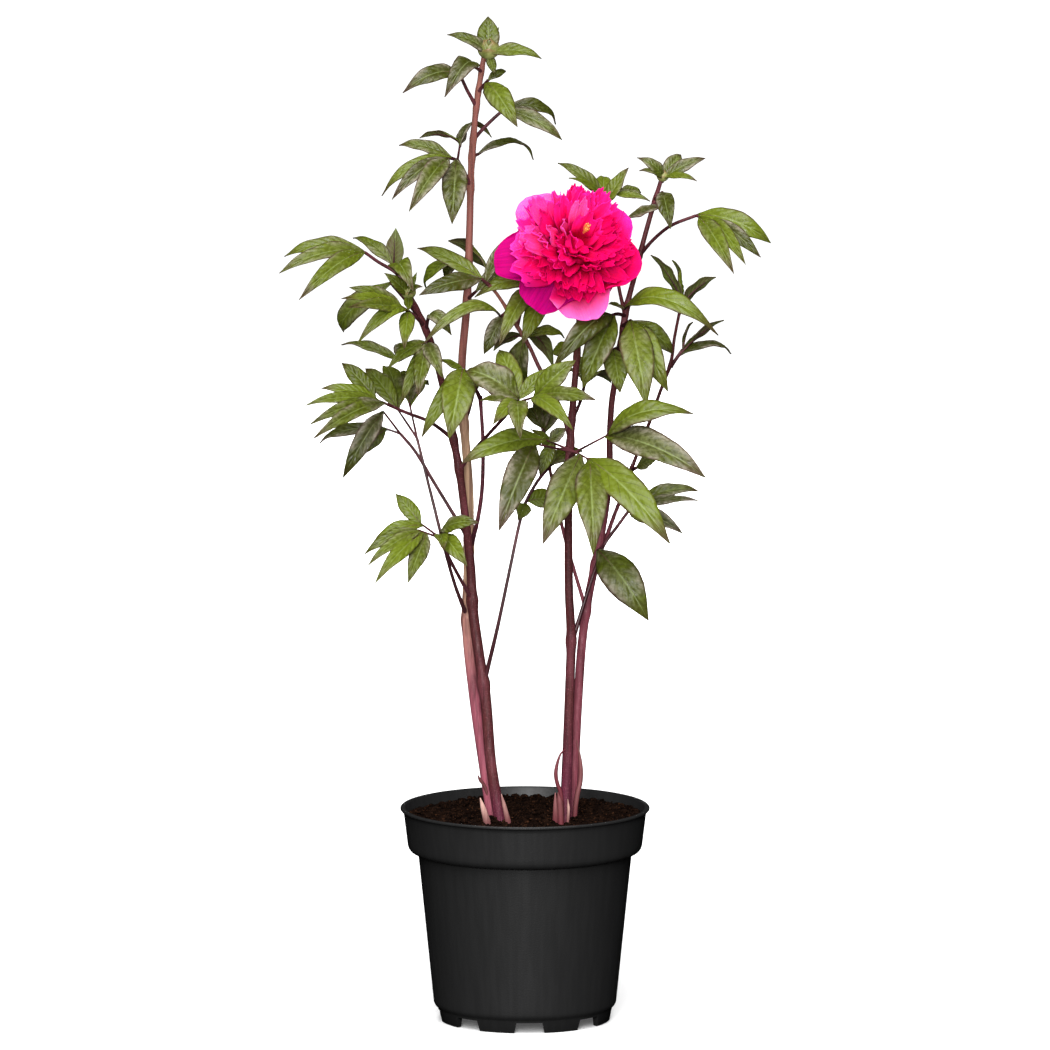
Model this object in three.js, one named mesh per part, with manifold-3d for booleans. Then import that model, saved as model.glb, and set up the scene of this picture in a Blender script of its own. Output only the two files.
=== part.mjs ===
// A potted herbaceous peony: a black nursery pot of soil with four stems, their divided leaves,
// three unopened buds and one double bloom. Millimetres, +Z up, front towards -Y.
// The origin lies on the surface that the pot stands on, on the pot's axis.
import * as THREE from "three";
import { mergeVertices } from "three/addons/utils/BufferGeometryUtils.js";
import Module from "manifold-3d";

const wasm = await Module();
wasm.setup();

// Pot
const RIM_RADIUS = 95;
const POT_HEIGHT = 164;
const WALL = 1.6;
const LIP_REACH = 2.4;
const LIP_DEPTH = 2.6;
const LIP_SLOPE = 0.6;
const COLLAR_TOP_RADIUS = RIM_RADIUS - LIP_REACH;
const COLLAR_FOOT_RADIUS = 89.4;
const COLLAR_FOOT_HEIGHT = 133.2;
const SHOULDER_RADIUS = 81.5;
const SHOULDER_HEIGHT = 129.2;
const BODY_FOOT_RADIUS = 69.8;
const BODY_FOOT_HEIGHT = 15;
const FOOT_RING_RADIUS = 66.6;
const FOOT_RING_TOP = 9.5;
const FOOT_BASE_RADIUS = 65;
const FOOT_RING_WALL = 4;
const FLOOR_HEIGHT = 9;
const FOOT_COUNT = 8;
const FOOT_GAP = 23;
const FOOT_GAP_HEIGHT = 8.2;
const FOOT_GAP_TURN = 3;
const DRAIN_RADIUS = 4.5;
const DRAIN_CIRCLE = 50;
const DRAIN_COUNT = 4;
const DRAIN_SIDES = 8;
const POT_SIDES = 32;

// Soil
const SOIL_LEVEL = 159.3;
const SOIL_BUMP = 1.6;
const SOIL_RINGS = 2;
const CLEARANCE = 0.3;

// Foliage
const BLADE_THICKNESS = 1.1;
const BLADE_FOLD = 0.2;
const STALK_RADIUS = 1.3;
const RIB_RADIUS = 1.0;
const STEM_SIDES = 8;
const BRANCH_SIDES = 5;
const STALK_SIDES = 4;
const LEAFLET_SPACING = 3;
const LEAFLET_FULLNESS = 1.12;
const STEM_DEPTH_IN_SOIL = 34;

// The plant is laid out as it is seen from the front, with the eye this far above the horizon.
const VIEW_TILT = THREE.MathUtils.degToRad(9);
const PLANT_DEPTH = 1.35;

// A point seen at (across, up) in that front view. away is how far it lies behind the pot's axis,
// before the whole plant is drawn out in depth.
function seen([across, up, away]) {
  const depth = away * PLANT_DEPTH;
  const height = (up - depth * Math.sin(VIEW_TILT)) / Math.cos(VIEW_TILT);
  return new THREE.Vector3(across, depth, height);
}

// Stems and their branches, as [across, up, away, radius] from the soil to the top.
const STEMS = {
  stem_tall: [
    [
      [-24, 152, -12, 4.9], [-31, 195, -9, 4.5], [-39, 250, -5, 4.2], [-44, 300, 0, 4.1],
      [-43, 345, 5, 3.8], [-42.5, 400, 8, 3.5], [-46, 450, 7, 3.3], [-48, 495, 4, 3.1],
      [-44, 545, 2, 2.9], [-42, 600, 0, 2.7], [-40.5, 650, 0, 2.5], [-36.5, 695, -2, 2.2],
      [-31, 731, -3, 1.8],
    ],
    [
      [-42, 358, 6, 2.0], [-36, 380, 0, 1.7], [-32.5, 405, -4, 1.6], [-32, 440, -4, 1.5],
      [-34, 474, -4, 1.4],
    ],
  ],
  stem_left: [
    [
      [-19, 152, -27, 4.7], [-25.8, 195, -24, 4.1], [-30, 245, -19, 4.2], [-35.2, 280, -15, 4.0],
      [-39.5, 312, -11, 3.9], [-41.3, 345, -8, 3.5], [-45.2, 380, -8, 3.1], [-50, 418, -9, 3.0],
      [-55, 445, -9, 2.9], [-61, 475, -11, 2.7], [-68, 503, -14, 2.5], [-76, 526, -18, 2.3],
      [-86, 547, -23, 1.9],
    ],
  ],
  stem_bloom: [
    [
      [30.5, 152, -28, 4.4], [32.2, 200, -26, 4.0], [33.8, 250, -24, 3.6], [35, 290, -22, 3.6],
      [33.4, 325, -21, 3.3], [33, 380, -19, 3.1], [34, 430, -17, 2.9], [36.5, 470, -16, 2.6],
      [39, 500, -15, 2.4], [41, 532, -15, 2.3], [39, 558, -15, 2.3], [32.5, 578, -21, 2.3],
    ],
    [
      [35, 438, -17, 1.9], [28, 462, -12, 1.7], [18, 482, -8, 1.7], [10, 497, -6, 1.6],
      [3, 512, -6, 1.5], [-5, 525, -6, 1.4], [-14, 540, -8, 1.4], [-23, 553, -12, 1.3],
      [-30, 560, -16, 1.2],
    ],
  ],
  stem_right: [
    [
      [36, 152, -14, 4.2], [37.8, 200, -11, 3.8], [40.7, 250, -7, 3.5], [43.7, 290, -3, 3.4],
      [48, 320, 0, 3.3], [54, 350, 4, 3.1], [60, 380, 7, 2.8], [64, 412, 9, 2.6],
      [64.5, 445, 10, 2.5], [66, 470, 9, 2.4], [70, 495, 7, 2.3], [74, 523, 6, 2.2],
      [78, 545, 7, 2.1], [84, 568, 9, 2.0], [90, 592, 10, 1.9], [97, 617, 12, 1.8],
      [103, 637, 13, 1.6],
    ],
    [
      [53, 346, 4, 1.8], [60, 362, 11, 1.7], [67, 381, 17, 1.6], [75, 402, 23, 1.5],
      [84, 427, 28, 1.4], [95, 455, 32, 1.4], [103, 478, 34, 1.3], [111, 500, 34, 1.3],
      [114, 520, 33, 1.2], [119, 545, 30, 1.1],
    ],
    [
      [47, 310, 0, 1.6], [38, 340, 5, 1.4], [30, 368, 10, 1.4], [21, 408, 14, 1.3],
      [14, 447, 16, 1.2],
    ],
    [
      [76, 536, 6, 1.6], [72, 553, 14, 1.4], [68, 576, 20, 1.3], [64, 600, 24, 1.3],
      [60, 620, 24, 1.2],
    ],
  ],
};

// Leaves: name, the stem that carries it, its stalk from the stem, then its sprays.
// A spray is the point that its leaflets spring from and a row for each leaflet's tip:
// across, up, away, width, the angle its upper face turns to the front, and how far it arches.
const LEAVES = [
  ["leaf_tall_1", "stem_tall", [[-37, 693, -2], [-44, 705, -8], [-49, 716, -12]], [
    [[-49, 716, -12], [[-93, 702, -34, 13, 50, 0.22]]],
  ]],
  ["leaf_tall_2", "stem_tall", [[-33, 719, -3], [-38, 722, -10]], [
    [[-38, 722, -10], [[-61, 698, -44, 14, 55, 0.3]]],
  ]],
  ["leaf_tall_3", "stem_tall", [[-35, 704, -3], [-28, 712, -9]], [
    [[-28, 712, -9], [[-14, 720, 2, 5, 50, 0.1], [-6, 676, -42, 15, 60, 0.14]]],
  ]],
  ["leaf_tall_4", "stem_tall", [[-39, 668, 0], [-28, 680, 8], [-14, 693, 14]], [
    [[-14, 693, 14], [[25, 681, 28, 10, 40, 0.22], [29, 668, 6, 10, 50, 0.14]]],
  ]],
  ["leaf_tall_5", "stem_tall", [[-41, 632, 0], [-46, 643, -5], [-51, 652, -10]], [
    [[-56, 654, -12], [[-96, 664, -8, 9, 45, 0.14], [-110, 625, -24, 9, 45, 0.25]]],
    [[-60, 653, -18], [[-101, 621, -42, 9, 50, 0.18], [-87, 612, -58, 13, 60, 0.14]]],
    [[-52, 652, -14], [[-55, 603, -46, 16, 80, 0.1]]],
    [[-49, 666, 6], [[-80, 671, 22, 8, -30, 0.12], [-47, 678, 30, 6, -40, 0], [-25, 672, 30, 8, -30, 0.3]]],
  ]],
  ["leaf_tall_6", "stem_tall", [[-40, 655, 0], [-36, 657, 10]], [
    [[-36, 657, 10], [[8, 656, 44, 8, 25, 0.2]]],
  ]],
  ["leaf_tall_7", "stem_tall", [[-44, 547, 2], [-37, 553, -8]], [
    [[-37, 553, -8], [[-5, 579, -2, 9, 45, 0.1]]],
  ]],
  ["leaf_tall_8", "stem_tall", [[-43, 574, 1], [-50, 579, 16]], [
    [[-50, 579, 16], [[-77, 556, 34, 8, 50, 0.2], [-61, 563, 36, 9, 60, 0.1]]],
  ]],
  ["leaf_tall_9", "stem_tall", [[-34, 472, -4], [-40, 484, -14], [-47, 494, -24]], [
    [[-47, 494, -26], [[-57, 441, -62, 22, 80, 0.14], [-79, 441, -46, 10, 70, 0.18],
      [-64, 501, -34, 5, 50, 0]]],
  ]],
  ["leaf_tall_10", "stem_tall", [[-43, 366, 6], [-56, 387, 16], [-70, 410, 24], [-84, 433, 32],
    [-95, 446, 38]], [
    [[-106, 450, 38], [[-128, 429, 34, 10, 60, 0.1], [-159, 440, 56, 9, 50, 0.15]]],
    [[-108, 463, 28], [[-139, 411, 8, 12, 70, 0.2]]],
  ]],
  ["leaf_tall_11", "stem_tall",
    [[-43, 304, 0], [-53, 330, -4], [-61, 358, -6], [-69, 390, -4], [-76, 418, 2], [-82, 442, 6]], [
    [[-98, 466, 18], [[-122, 497, 38, 13, 40, 0.1], [-108, 500, 66, 12, -30, 0.1]]],
    [[-88, 469, 24], [[-92, 496, 60, 12, -40, 0.1], [-74, 486, 70, 11, -30, 0.1]]],
  ]],
  ["leaf_tall_12", "stem_tall", [[-46, 452, 7], [-42, 466, 30], [-38, 482, 52]], [
    [[-38, 482, 52], [[-58, 488, 96, 16, -40, 0.1], [-30, 492, 104, 16, -40, 0.12],
      [-12, 486, 90, 14, -40, 0.1]]],
  ]],
  ["leaf_left_1", "stem_left",
    [[-83, 541, -20], [-90, 556, -12], [-98, 567, -8], [-111, 575, -10], [-121, 582, -14]], [
    [[-122, 583, -14], [
      [-183, 580, -24, 12, 45, 0.18], [-186, 567, -44, 12, 50, 0.14], [-170, 546, -64, 12, 60, 0.14]]],
    [[-100, 573, 0], [[-131, 596, 22, 10, 30, 0.12], [-98, 601, 14, 11, -60, 0.05]]],
    [[-96, 566, -14], [[-84, 552, -50, 13, 60, 0.3]]],
  ]],
  ["leaf_left_2", "stem_left", [[-78, 530, -19], [-90, 546, 0], [-102, 560, 14]], [
    [[-102, 560, 14], [[-140, 522, 34, 15, 60, 0.3]]],
  ]],
  ["leaf_left_3", "stem_left", [[-76, 527, -18], [-85, 535, -30], [-93, 540, -42]], [
    [[-93, 540, -42], [
      [-132, 555, -58, 10, 60, 0.1], [-137, 547, -74, 9, 60, 0.08], [-131, 540, -88, 9, 65, 0.05],
      [-127, 512, -72, 9, 55, 0.25], [-91, 509, -72, 9, 75, 0.1]]],
  ]],
  ["leaf_left_4", "stem_left", [[-75, 523, -17], [-73, 534, -28]], [
    [[-73, 534, -28], [[-55, 519, -40, 10, 55, 0.4]]],
  ]],
  ["leaf_left_5", "stem_left", [[-68, 504, -14], [-82, 507, -2], [-96, 501, 8]], [
    [[-96, 501, 8], [[-140, 515, 20, 9, 30, 0.1], [-88, 514, 44, 12, -50, 0.1]]],
  ]],
  ["leaf_left_6", "stem_left", [[-72, 515, -16], [-75, 513, -30]], [
    [[-75, 513, -30], [
      [-81, 473, -66, 10, 75, 0.1], [-62, 487, -56, 10, 75, 0.15], [-104, 494, -52, 9, 55, 0.15],
      [-94, 467, -44, 8, 60, 0.12]]],
  ]],
  ["leaf_left_7", "stem_left", [[-54, 441, -9], [-72, 454, -18], [-90, 461, -26], [-104, 467, -32]], [
    [[-113, 471, -34], [
      [-139, 499, -26, 11, 50, 0.1], [-154, 480, -42, 10, 50, 0.1], [-166, 467, -56, 8, 50, 0.1],
      [-162, 452, -70, 9, 55, 0.12], [-159, 441, -86, 10, 60, 0.12]]],
  ]],
  ["leaf_left_8", "stem_left", [[-40, 319, -10], [-49, 335, -18], [-57, 350, -26], [-64, 366, -32]], [
    [[-79, 377, -36], [[-98, 400, -28, 10, 55, 0.05], [-116, 363, -44, 9, 50, 0.2]]],
    [[-81, 372, -42], [
      [-122, 354, -58, 8, 50, 0.15], [-119, 346, -72, 8, 55, 0.12], [-113, 333, -84, 10, 60, 0.1],
      [-88, 333, -74, 11, 75, 0.08]]],
    [[-64, 371, -34], [[-35, 378, -50, 11, 50, 0.15], [-44, 345, -60, 11, 65, 0.12],
      [-61, 357, -66, 8, 70, 0.1]]],
  ]],
  ["leaf_left_9", "stem_left", [[-49, 419, -9], [-40, 431, -20], [-28, 444, -32], [-14, 459, -44],
    [-6, 468, -50]], [
    [[-5, 471, -52], [
      [-46, 493, -44, 23, 55, 0.22], [-20, 510, -20, 15, 50, 0.1], [19, 495, -40, 9, 50, 0.08],
      [-33, 470, -70, 6, 40, 0.05], [-24, 452, -84, 11, 65, 0.12], [-4, 441, -94, 13, 75, 0.15]]],
    [[10, 473, -58], [[53, 470, -86, 11, 55, 0.1], [38, 500, -62, 15, 60, 0.1],
      [36, 448, -96, 11, 60, 0.15]]],
  ]],
  ["leaf_left_10", "stem_left",
    [[-31, 256, -18], [-20.5, 300, -22], [-11, 345, -20], [-4, 378, -16], [0, 392, -12], [10, 410, -2],
      [19, 421, 6]], [
    [[1, 392, -12], [[-5, 380, -28, 9, 70, 0.1], [24, 396, 2, 14, 60, 0.1]]],
    [[20, 422, 8], [[6, 449, -16, 12, 50, 0.1], [44, 434, 34, 12, 40, 0.12]]],
  ]],
  ["leaf_bloom_1", "stem_bloom", [[-28, 558, -15], [-33, 562, -19]], [
    [[-33, 562, -19], [[-80, 550, -40, 13, 55, 0.1], [-82, 587, -8, 11, 50, 0.12],
      [-18, 590, -12, 6, 40, 0.05]]],
    [[-25, 561, -3], [[-57, 594, 36, 22, -50, 0.1]]],
  ]],
  ["leaf_bloom_2", "stem_bloom", [[-13, 538, -8], [-18, 534, -14]], [
    [[-18, 534, -14], [[-79, 512, -52, 10, 45, 0.3], [-31, 505, -22, 10, 70, 0.14]]],
  ]],
  ["leaf_bloom_3", "stem_bloom", [[-1, 518, -6], [2, 519, 6]], [
    [[2, 519, 6], [[31, 519, 16, 8, 40, 0.2], [22, 497, 34, 11, -40, 0.2], [-24, 510, 26, 11, -30, 0.12],
      [-6, 474, 22, 17, 40, 0.1]]],
  ]],
  ["leaf_bloom_4", "stem_bloom", [[-6, 527, -6], [-2, 541, 2], [4, 556, 6]], [
    [[4, 556, 4], [[-20, 512, -36, 12, 65, 0.15], [-39, 549, -14, 12, 50, 0.28]]],
    [[17, 558, 2], [[-2, 513, -26, 13, 70, 0.1], [14, 600, 52, 16, -50, 0.12]]],
  ]],
  ["leaf_bloom_5", "stem_bloom", [[40, 504, -15], [37, 509, -4]], [
    [[37, 509, -4], [[20, 507, 6, 10, 50, 0.15], [46, 518, 40, 13, -40, 0.15]]],
  ]],
  ["leaf_bloom_6", "stem_bloom", [[34, 426, -17], [36, 430, -26], [38, 431, -32]], [
    [[16, 440, -40], [[-49, 423, -64, 18, 50, 0.15], [31, 449, -40, 8, 50, 0.05],
      [11, 413, -46, 8, 60, 0.1]]],
    [[7, 437, -50], [[-20, 371, -92, 20, 70, 0.15]]],
    [[42, 429, -38], [[13, 362, -84, 23, 75, 0.12]]],
    [[63, 444, -46], [[128, 461, -62, 17, 50, 0.25], [137, 412, -80, 22, 55, 0.15]]],
    [[49, 425, -46], [[52, 354, -104, 21, 80, 0.12], [110, 362, -92, 24, 60, 0.15]]],
  ]],
  ["leaf_bloom_7", "stem_bloom",
    [[36, 288, -22], [44, 314, -17], [53, 342, -14], [60, 361, -14], [70, 375, -10], [78, 386, -4]], [
    [[55, 357, -22], [[94, 303, -46, 25, 65, 0.22]]],
    [[81, 388, -2], [[120, 370, -20, 10, 55, 0.12], [100, 375, -30, 8, 60, 0.05]]],
    [[86, 394, 2], [[133, 403, 4, 10, 45, 0.15], [131, 396, -12, 7, 45, 0.05]]],
  ]],
  ["leaf_bloom_8", "stem_bloom", [[36, 456, -16], [42, 470, 14], [46, 486, 40]], [
    [[46, 486, 40], [[24, 492, 84, 15, -40, 0.1], [48, 500, 104, 16, -40, 0.12],
      [66, 488, 82, 15, -40, 0.1]]],
  ]],
  ["leaf_right_1", "stem_right", [[76, 535, 6], [70, 536, -4], [66, 535, -12]], [
    [[66, 535, -12], [[21, 494, -50, 15, 60, 0.25], [43, 479, -34, 18, 70, 0.15]]],
  ]],
  ["leaf_right_2", "stem_right", [[78, 543, 7], [75, 540, -6]], [
    [[75, 540, -6], [[148, 520, -36, 16, 50, 0.33], [64, 544, -14, 6, 30, 0]]],
  ]],
  ["leaf_right_3", "stem_right", [[74, 527, 6], [80, 531, -12]], [
    [[80, 531, -12], [
      [92, 466, -60, 22, 75, 0.12], [108, 476, -38, 18, 70, 0.2], [113, 505, -8, 12, 60, 0.3],
      [103, 484, 0, 9, 60, 0.1]]],
  ]],
  ["leaf_right_4", "stem_right", [[118, 541, 30], [120, 548, 30]], [
    [[120, 548, 30], [[97, 583, 44, 13, -40, 0.05], [114, 579, 56, 14, -50, 0.05],
      [145, 566, 38, 11, -40, 0.08]]],
  ]],
  ["leaf_right_5", "stem_right", [[111, 497, 34], [120, 510, 42]], [
    [[120, 510, 42], [[127, 532, 54, 9, -40, 0.05], [151, 534, 50, 10, -30, 0.05],
      [159, 509, 66, 7, 30, 0.15]]],
  ]],
  ["leaf_right_6", "stem_right", [[87, 581, 10], [99, 594, 4], [111, 603, -2], [129, 610, -6]], [
    [[131, 611, -7], [[187, 589, -16, 15, 55, 0.2]]],
    [[143, 608, -14], [[178, 578, -34, 9, 60, 0.1], [166, 573, -52, 9, 65, 0.1]]],
    [[132, 609, -12], [[157, 566, -60, 12, 65, 0.1]]],
  ]],
  ["leaf_right_7", "stem_right", [[99, 623, 12], [104, 628, 0]], [
    [[104, 628, 0], [[110, 600, -28, 11, 70, 0.15]]],
  ]],
  ["leaf_right_8", "stem_right", [[60, 617, 24], [59, 626, 24]], [
    [[59, 626, 24], [
      [25, 652, 22, 9, 50, 0.15], [34, 640, 6, 5, 50, 0.1], [60, 643, 50, 10, 60, 0.1],
        [78, 648, 26, 9, 40, 0]]],
    [[72, 629, 30], [[89, 630, 44, 7, 50, 0.1], [91, 626, 30, 6, 50, 0.05], [95, 623, 18, 5, 40, 0.05]]],
  ]],
  ["leaf_right_9", "stem_right", [[65, 597, 24], [72, 605, 10], [78, 609, 2]], [
    [[78, 609, 2], [[104, 617, -10, 8, 40, 0.05]]],
  ]],
  ["leaf_right_10", "stem_right", [[73, 512, 6], [67, 509, -6]], [
    [[67, 509, -6], [[72, 476, -26, 15, 75, 0.15]]],
  ]],
  ["leaf_right_11", "stem_right", [[15, 444, 16], [13, 450, 17]], [
    [[13, 450, 17], [[2, 466, 36, 9, 50, 0.1], [10, 480, 56, 11, -40, 0.1], [24, 466, 40, 10, 40, 0.1]]],
  ]],
  ["leaf_right_12", "stem_right", [[81, 418, 27], [85, 420, 18]], [
    [[85, 420, 18], [[101, 428, 10, 9, 50, 0.05]]],
  ]],
];

// Unopened buds: name, stem, place, radius, then the leafy bracts round them, as leaflet rows.
const BUD_SIDES = 8;
const BUDS = [
  ["bud_tall", "stem_tall", [-27.5, 736, -4], 7, [
    [-28, 761, 4, 14, 85, 0.05], [-59, 747, -10, 8, 50, 0.18], [13, 729, -14, 10, 45, 0.15],
    [-23, 717, -14, 5, 60, 0], [-20, 753, 6, 3, 10, 0]]],
  ["bud_left", "stem_left", [-88, 552, -25], 4.6, [
    [-106, 566, -34, 7, 60, 0.1], [-88, 538, -40, 5, 60, 0], [-82, 567, -22, 3, 30, 0],
    [-78, 556, -38, 5, 50, 0.1]]],
  ["bud_right", "stem_right", [104.5, 641, 13], 3.8, [
    [85, 655, 6, 8, 55, 0.25], [87, 645, -2, 5, 50, 0.1], [102, 652, 18, 3, 20, 0],
    [119, 658, 26, 9, 60, 0.15], [137, 655, 16, 8, 50, 0.1], [130, 637, -4, 5, 40, 0.12]]],
];

// Bloom
const BLOOM_SEAT = [33, 581, -26];
const BLOOM_AXIS = new THREE.Vector3(0.06, -0.84, 0.54).normalize();
const CORE_RADIUS = 21;
const CORE_DEPTH = 13;
const CORE_SINK = 4;
const CORE_SIDES = 8;
const CORE_BANDS = 5;
const PETAL_ROOT = 7;
const CALYX_TOP_RADIUS = 9;
const CALYX_FOOT_RADIUS = 5;
const CALYX_HEIGHT = 6;
const CALYX_DROP = 7.3;
const CALYX_SIDES = 12;
const SEPAL_ROOT = 3;
const SEPAL_RING = [5, 26, 108, -0.05, 0.5];
// Rings of petals from the outside in: count, length, angle from the bloom's axis, inward curl, and
// width as a share of the room that each petal has in its ring.
const PETAL_RINGS = [
  [7, 56, 93, 0.1, 1.2],
  [7, 51, 78, 0.14, 0.95],
  [10, 50, 62, 0.17, 0.86],
  [9, 49, 46, 0.17, 0.84],
  [7, 47, 31, 0.14, 0.82],
  [4, 43, 17, 0.09, 0.8],
  [2, 39, 6, 0.05, 0.7],
];
const PETAL_TURN = THREE.MathUtils.degToRad(30);
const GUARD_RINGS = 2;
const WIDEST_SHARE = 0.75;
const UNEVEN_LENGTH = 0.07;
const UNEVEN_LEAN = 0.08;
const PETAL_THICKNESS = 1.2;
const PETAL_FOLD = 0.3;

// Papery sheaths at the foot of the stems: name, foot, tip, width, facing, arch.
const SHEATH_THICKNESS = 1.4;
const SHEATH_FOLD = -0.25;
const SHEATHS = [
  ["sheath_pale", [-26, 141, -33], [-34, 169, -37], 6, 80, 0.03],
  ["sheath_left", [-10.5, 141, -32], [-18, 172, -36], 4.5, 60, 0.05],
  ["sheath_right", [23.5, 141, -32], [23, 173, -35], 5, 60, 0.08],
];

// Colours of the surfaces.
const LOOKS = {
  pot: { color: 0x26272a, roughness: 0.55 },
  soil: { color: 0x2a160d, roughness: 0.95 },
  stem: { color: 0x5a2a33, roughness: 0.5 },
  leaf: { color: 0x4f7a1e, roughness: 0.45 },
  bud: { color: 0x8a9a4a, roughness: 0.45 },
  petal: { color: 0xe6126e, roughness: 0.5 },
  sheath: { color: 0xd9a08c, roughness: 0.6 },
};

const EAST = new THREE.Vector3(1, 0, 0);
const UP = new THREE.Vector3(0, 0, 1);
const FRONT = new THREE.Vector3(0, -1, 0);

// A closed three.js geometry as a manifold-3d solid.
function solid(geometry) {
  const bare = geometry.clone();
  bare.deleteAttribute("normal");
  bare.deleteAttribute("uv");
  const merged = mergeVertices(bare, 1e-4);
  return new wasm.Manifold(new wasm.Mesh({
    numProp: 3,
    vertProperties: new Float32Array(merged.attributes.position.array),
    triVerts: new Uint32Array(merged.index.array),
  }));
}

// A manifold-3d solid as a three.js geometry.
function geometryOf(made) {
  const mesh = made.getMesh();
  const geometry = new THREE.BufferGeometry();
  geometry.setAttribute("position", new THREE.BufferAttribute(new Float32Array(mesh.vertProperties), 3));
  geometry.setIndex(new THREE.BufferAttribute(new Uint32Array(mesh.triVerts), 1));
  geometry.computeVertexNormals();
  return geometry;
}

// Rings of points skinned into a closed solid. Every ring has the same count and turns the same way;
// a first or last ring of one point closes to that point.
function skin(rings) {
  const positions = [];
  const faces = [];
  const starts = rings.map((ring) => {
    const start = positions.length / 3;
    ring.forEach((p) => positions.push(p.x, p.y, p.z));
    return start;
  });
  for (let i = 0; i + 1 < rings.length; i++) {
    const [a, b] = [starts[i], starts[i + 1]];
    const [na, nb] = [rings[i].length, rings[i + 1].length];
    for (let j = 0; j < Math.max(na, nb); j++) {
      const k = (j + 1) % Math.max(na, nb);
      if (na > 1) faces.push(a + j, a + k, b + (nb > 1 ? k : 0));
      if (nb > 1) faces.push(a + (na > 1 ? j : 0), b + k, b + j);
    }
  }
  const close = (start, count, flip) => {
    for (let j = 1; j + 1 < count; j++) {
      faces.push(start, start + (flip ? j + 1 : j), start + (flip ? j : j + 1));
    }
  };
  close(starts[0], rings[0].length, true);
  close(starts.at(-1), rings.at(-1).length, false);
  const geometry = new THREE.BufferGeometry();
  geometry.setAttribute("position", new THREE.Float32BufferAttribute(positions, 3));
  geometry.setIndex(faces);
  return solid(geometry);
}

// A round stalk through points that each carry a radius, with its frame carried along without twist.
function tube(points, radii, sides, stepsPerSpan, grow = 0) {
  const curve = new THREE.CatmullRomCurve3(points, false, "centripetal");
  const steps = (points.length - 1) * stepsPerSpan;
  const rings = [];
  let across = null;
  for (let i = 0; i <= steps; i++) {
    const t = i / steps;
    const centre = curve.getPoint(t);
    const along = curve.getTangent(t);
    if (!across) across = (Math.abs(along.x) < 0.9 ? EAST : UP).clone().cross(along).normalize();
    across.sub(along.clone().multiplyScalar(across.dot(along))).normalize();
    const other = along.clone().cross(across);
    const span = Math.min(Math.floor(t * (points.length - 1)), points.length - 2);
    const share = t * (points.length - 1) - span;
    const radius = THREE.MathUtils.lerp(radii[span], radii[span + 1], share) + grow;
    rings.push(Array.from({ length: sides }, (_, j) => {
      const turn = (j / sides) * 2 * Math.PI;
      return centre.clone()
        .addScaledVector(across, radius * Math.cos(turn))
        .addScaledVector(other, radius * Math.sin(turn));
    }));
  }
  return skin(rings);
}

// Outlines, as [share of the length, share of the width] from the foot to just before the point.
const LEAFLET = [[0, 0.1], [0.22, 0.62], [0.46, 1], [0.78, 0.62]];
const SMALL_LEAFLET = [[0, 0.14], [0.42, 1], [0.76, 0.66]];
const GUARD_PETAL = [[0, 0.12], [0.36, 0.66], [0.72, 1], [1, 0.6]];
const INNER_PETAL = [[0, 0.12], [0.7, 1], [1, 0.66]];
const SHEATH = [[0, 0.8], [0.35, 1], [0.75, 0.6]];
const SMALL_LEAFLET_LENGTH = 72;

// A thin arched blade from foot to tip. facing is the way its upper face looks, lift its arch as a
// share of its length, fold how far its sides rise from the rib, and pointed closes it to a point.
function blade({ foot, tip, width, facing, lift, outline, fold, thickness, pointed }) {
  const length = foot.distanceTo(tip);
  const chord = tip.clone().sub(foot).normalize();
  const rise = facing.clone().addScaledVector(chord, -facing.dot(chord)).normalize();
  const middle = foot.clone().lerp(tip, 0.5).addScaledVector(rise, 2 * lift * length);
  const rib = new THREE.QuadraticBezierCurve3(foot, middle, tip);
  const rings = outline.map(([t, share]) => {
    const centre = rib.getPoint(t);
    const along = rib.getTangent(t);
    const above = rise.clone().addScaledVector(along, -rise.dot(along)).normalize();
    const side = above.clone().cross(along);
    const half = (width * share) / 2;
    const place = (s, h) => centre.clone().addScaledVector(side, s).addScaledVector(above, h);
    const edge = half * fold;
    return [place(half, edge), place(0, thickness / 2), place(-half, edge), place(0, -thickness / 2)];
  });
  if (pointed) rings.push([tip]);
  return skin(rings);
}

// The direction that a blade's upper face looks: up, turned to the front by an angle in degrees.
function facingOf(degrees) {
  const turn = THREE.MathUtils.degToRad(degrees);
  return UP.clone().multiplyScalar(Math.cos(turn)).addScaledVector(FRONT, Math.sin(turn));
}

function leaflet(foot, [across, up, away, width, turn, lift]) {
  const tip = seen([across, up, away]);
  const small = foot.distanceTo(tip) < SMALL_LEAFLET_LENGTH;
  return blade({
    foot, tip, lift,
    width: width * LEAFLET_FULLNESS,
    facing: facingOf(turn),
    outline: small ? SMALL_LEAFLET : LEAFLET,
    fold: BLADE_FOLD,
    thickness: BLADE_THICKNESS,
    pointed: true,
  });
}

// The largest single body of a solid, so that no loose scrap of a cut stays.
function largest(made) {
  return made.decompose().reduce((best, body) => (body.volume() > best.volume() ? body : best));
}

function unite(solids) {
  return wasm.Manifold.union(solids);
}

// A stem with its branches, running down into the soil. grow widens it, for clearances.
function stem(paths, grow = 0) {
  return unite(paths.map((path, i) => {
    const points = path.map(seen);
    const radii = path.map((row) => row[3]);
    if (i === 0) {
      const below = points[0].clone().sub(points[1]).normalize();
      points.unshift(points[0].clone().addScaledVector(below, STEM_DEPTH_IN_SOIL));
      radii.unshift(radii[0]);
    }
    return tube(points, radii, i === 0 ? STEM_SIDES : BRANCH_SIDES, 1, grow);
  }));
}

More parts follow.
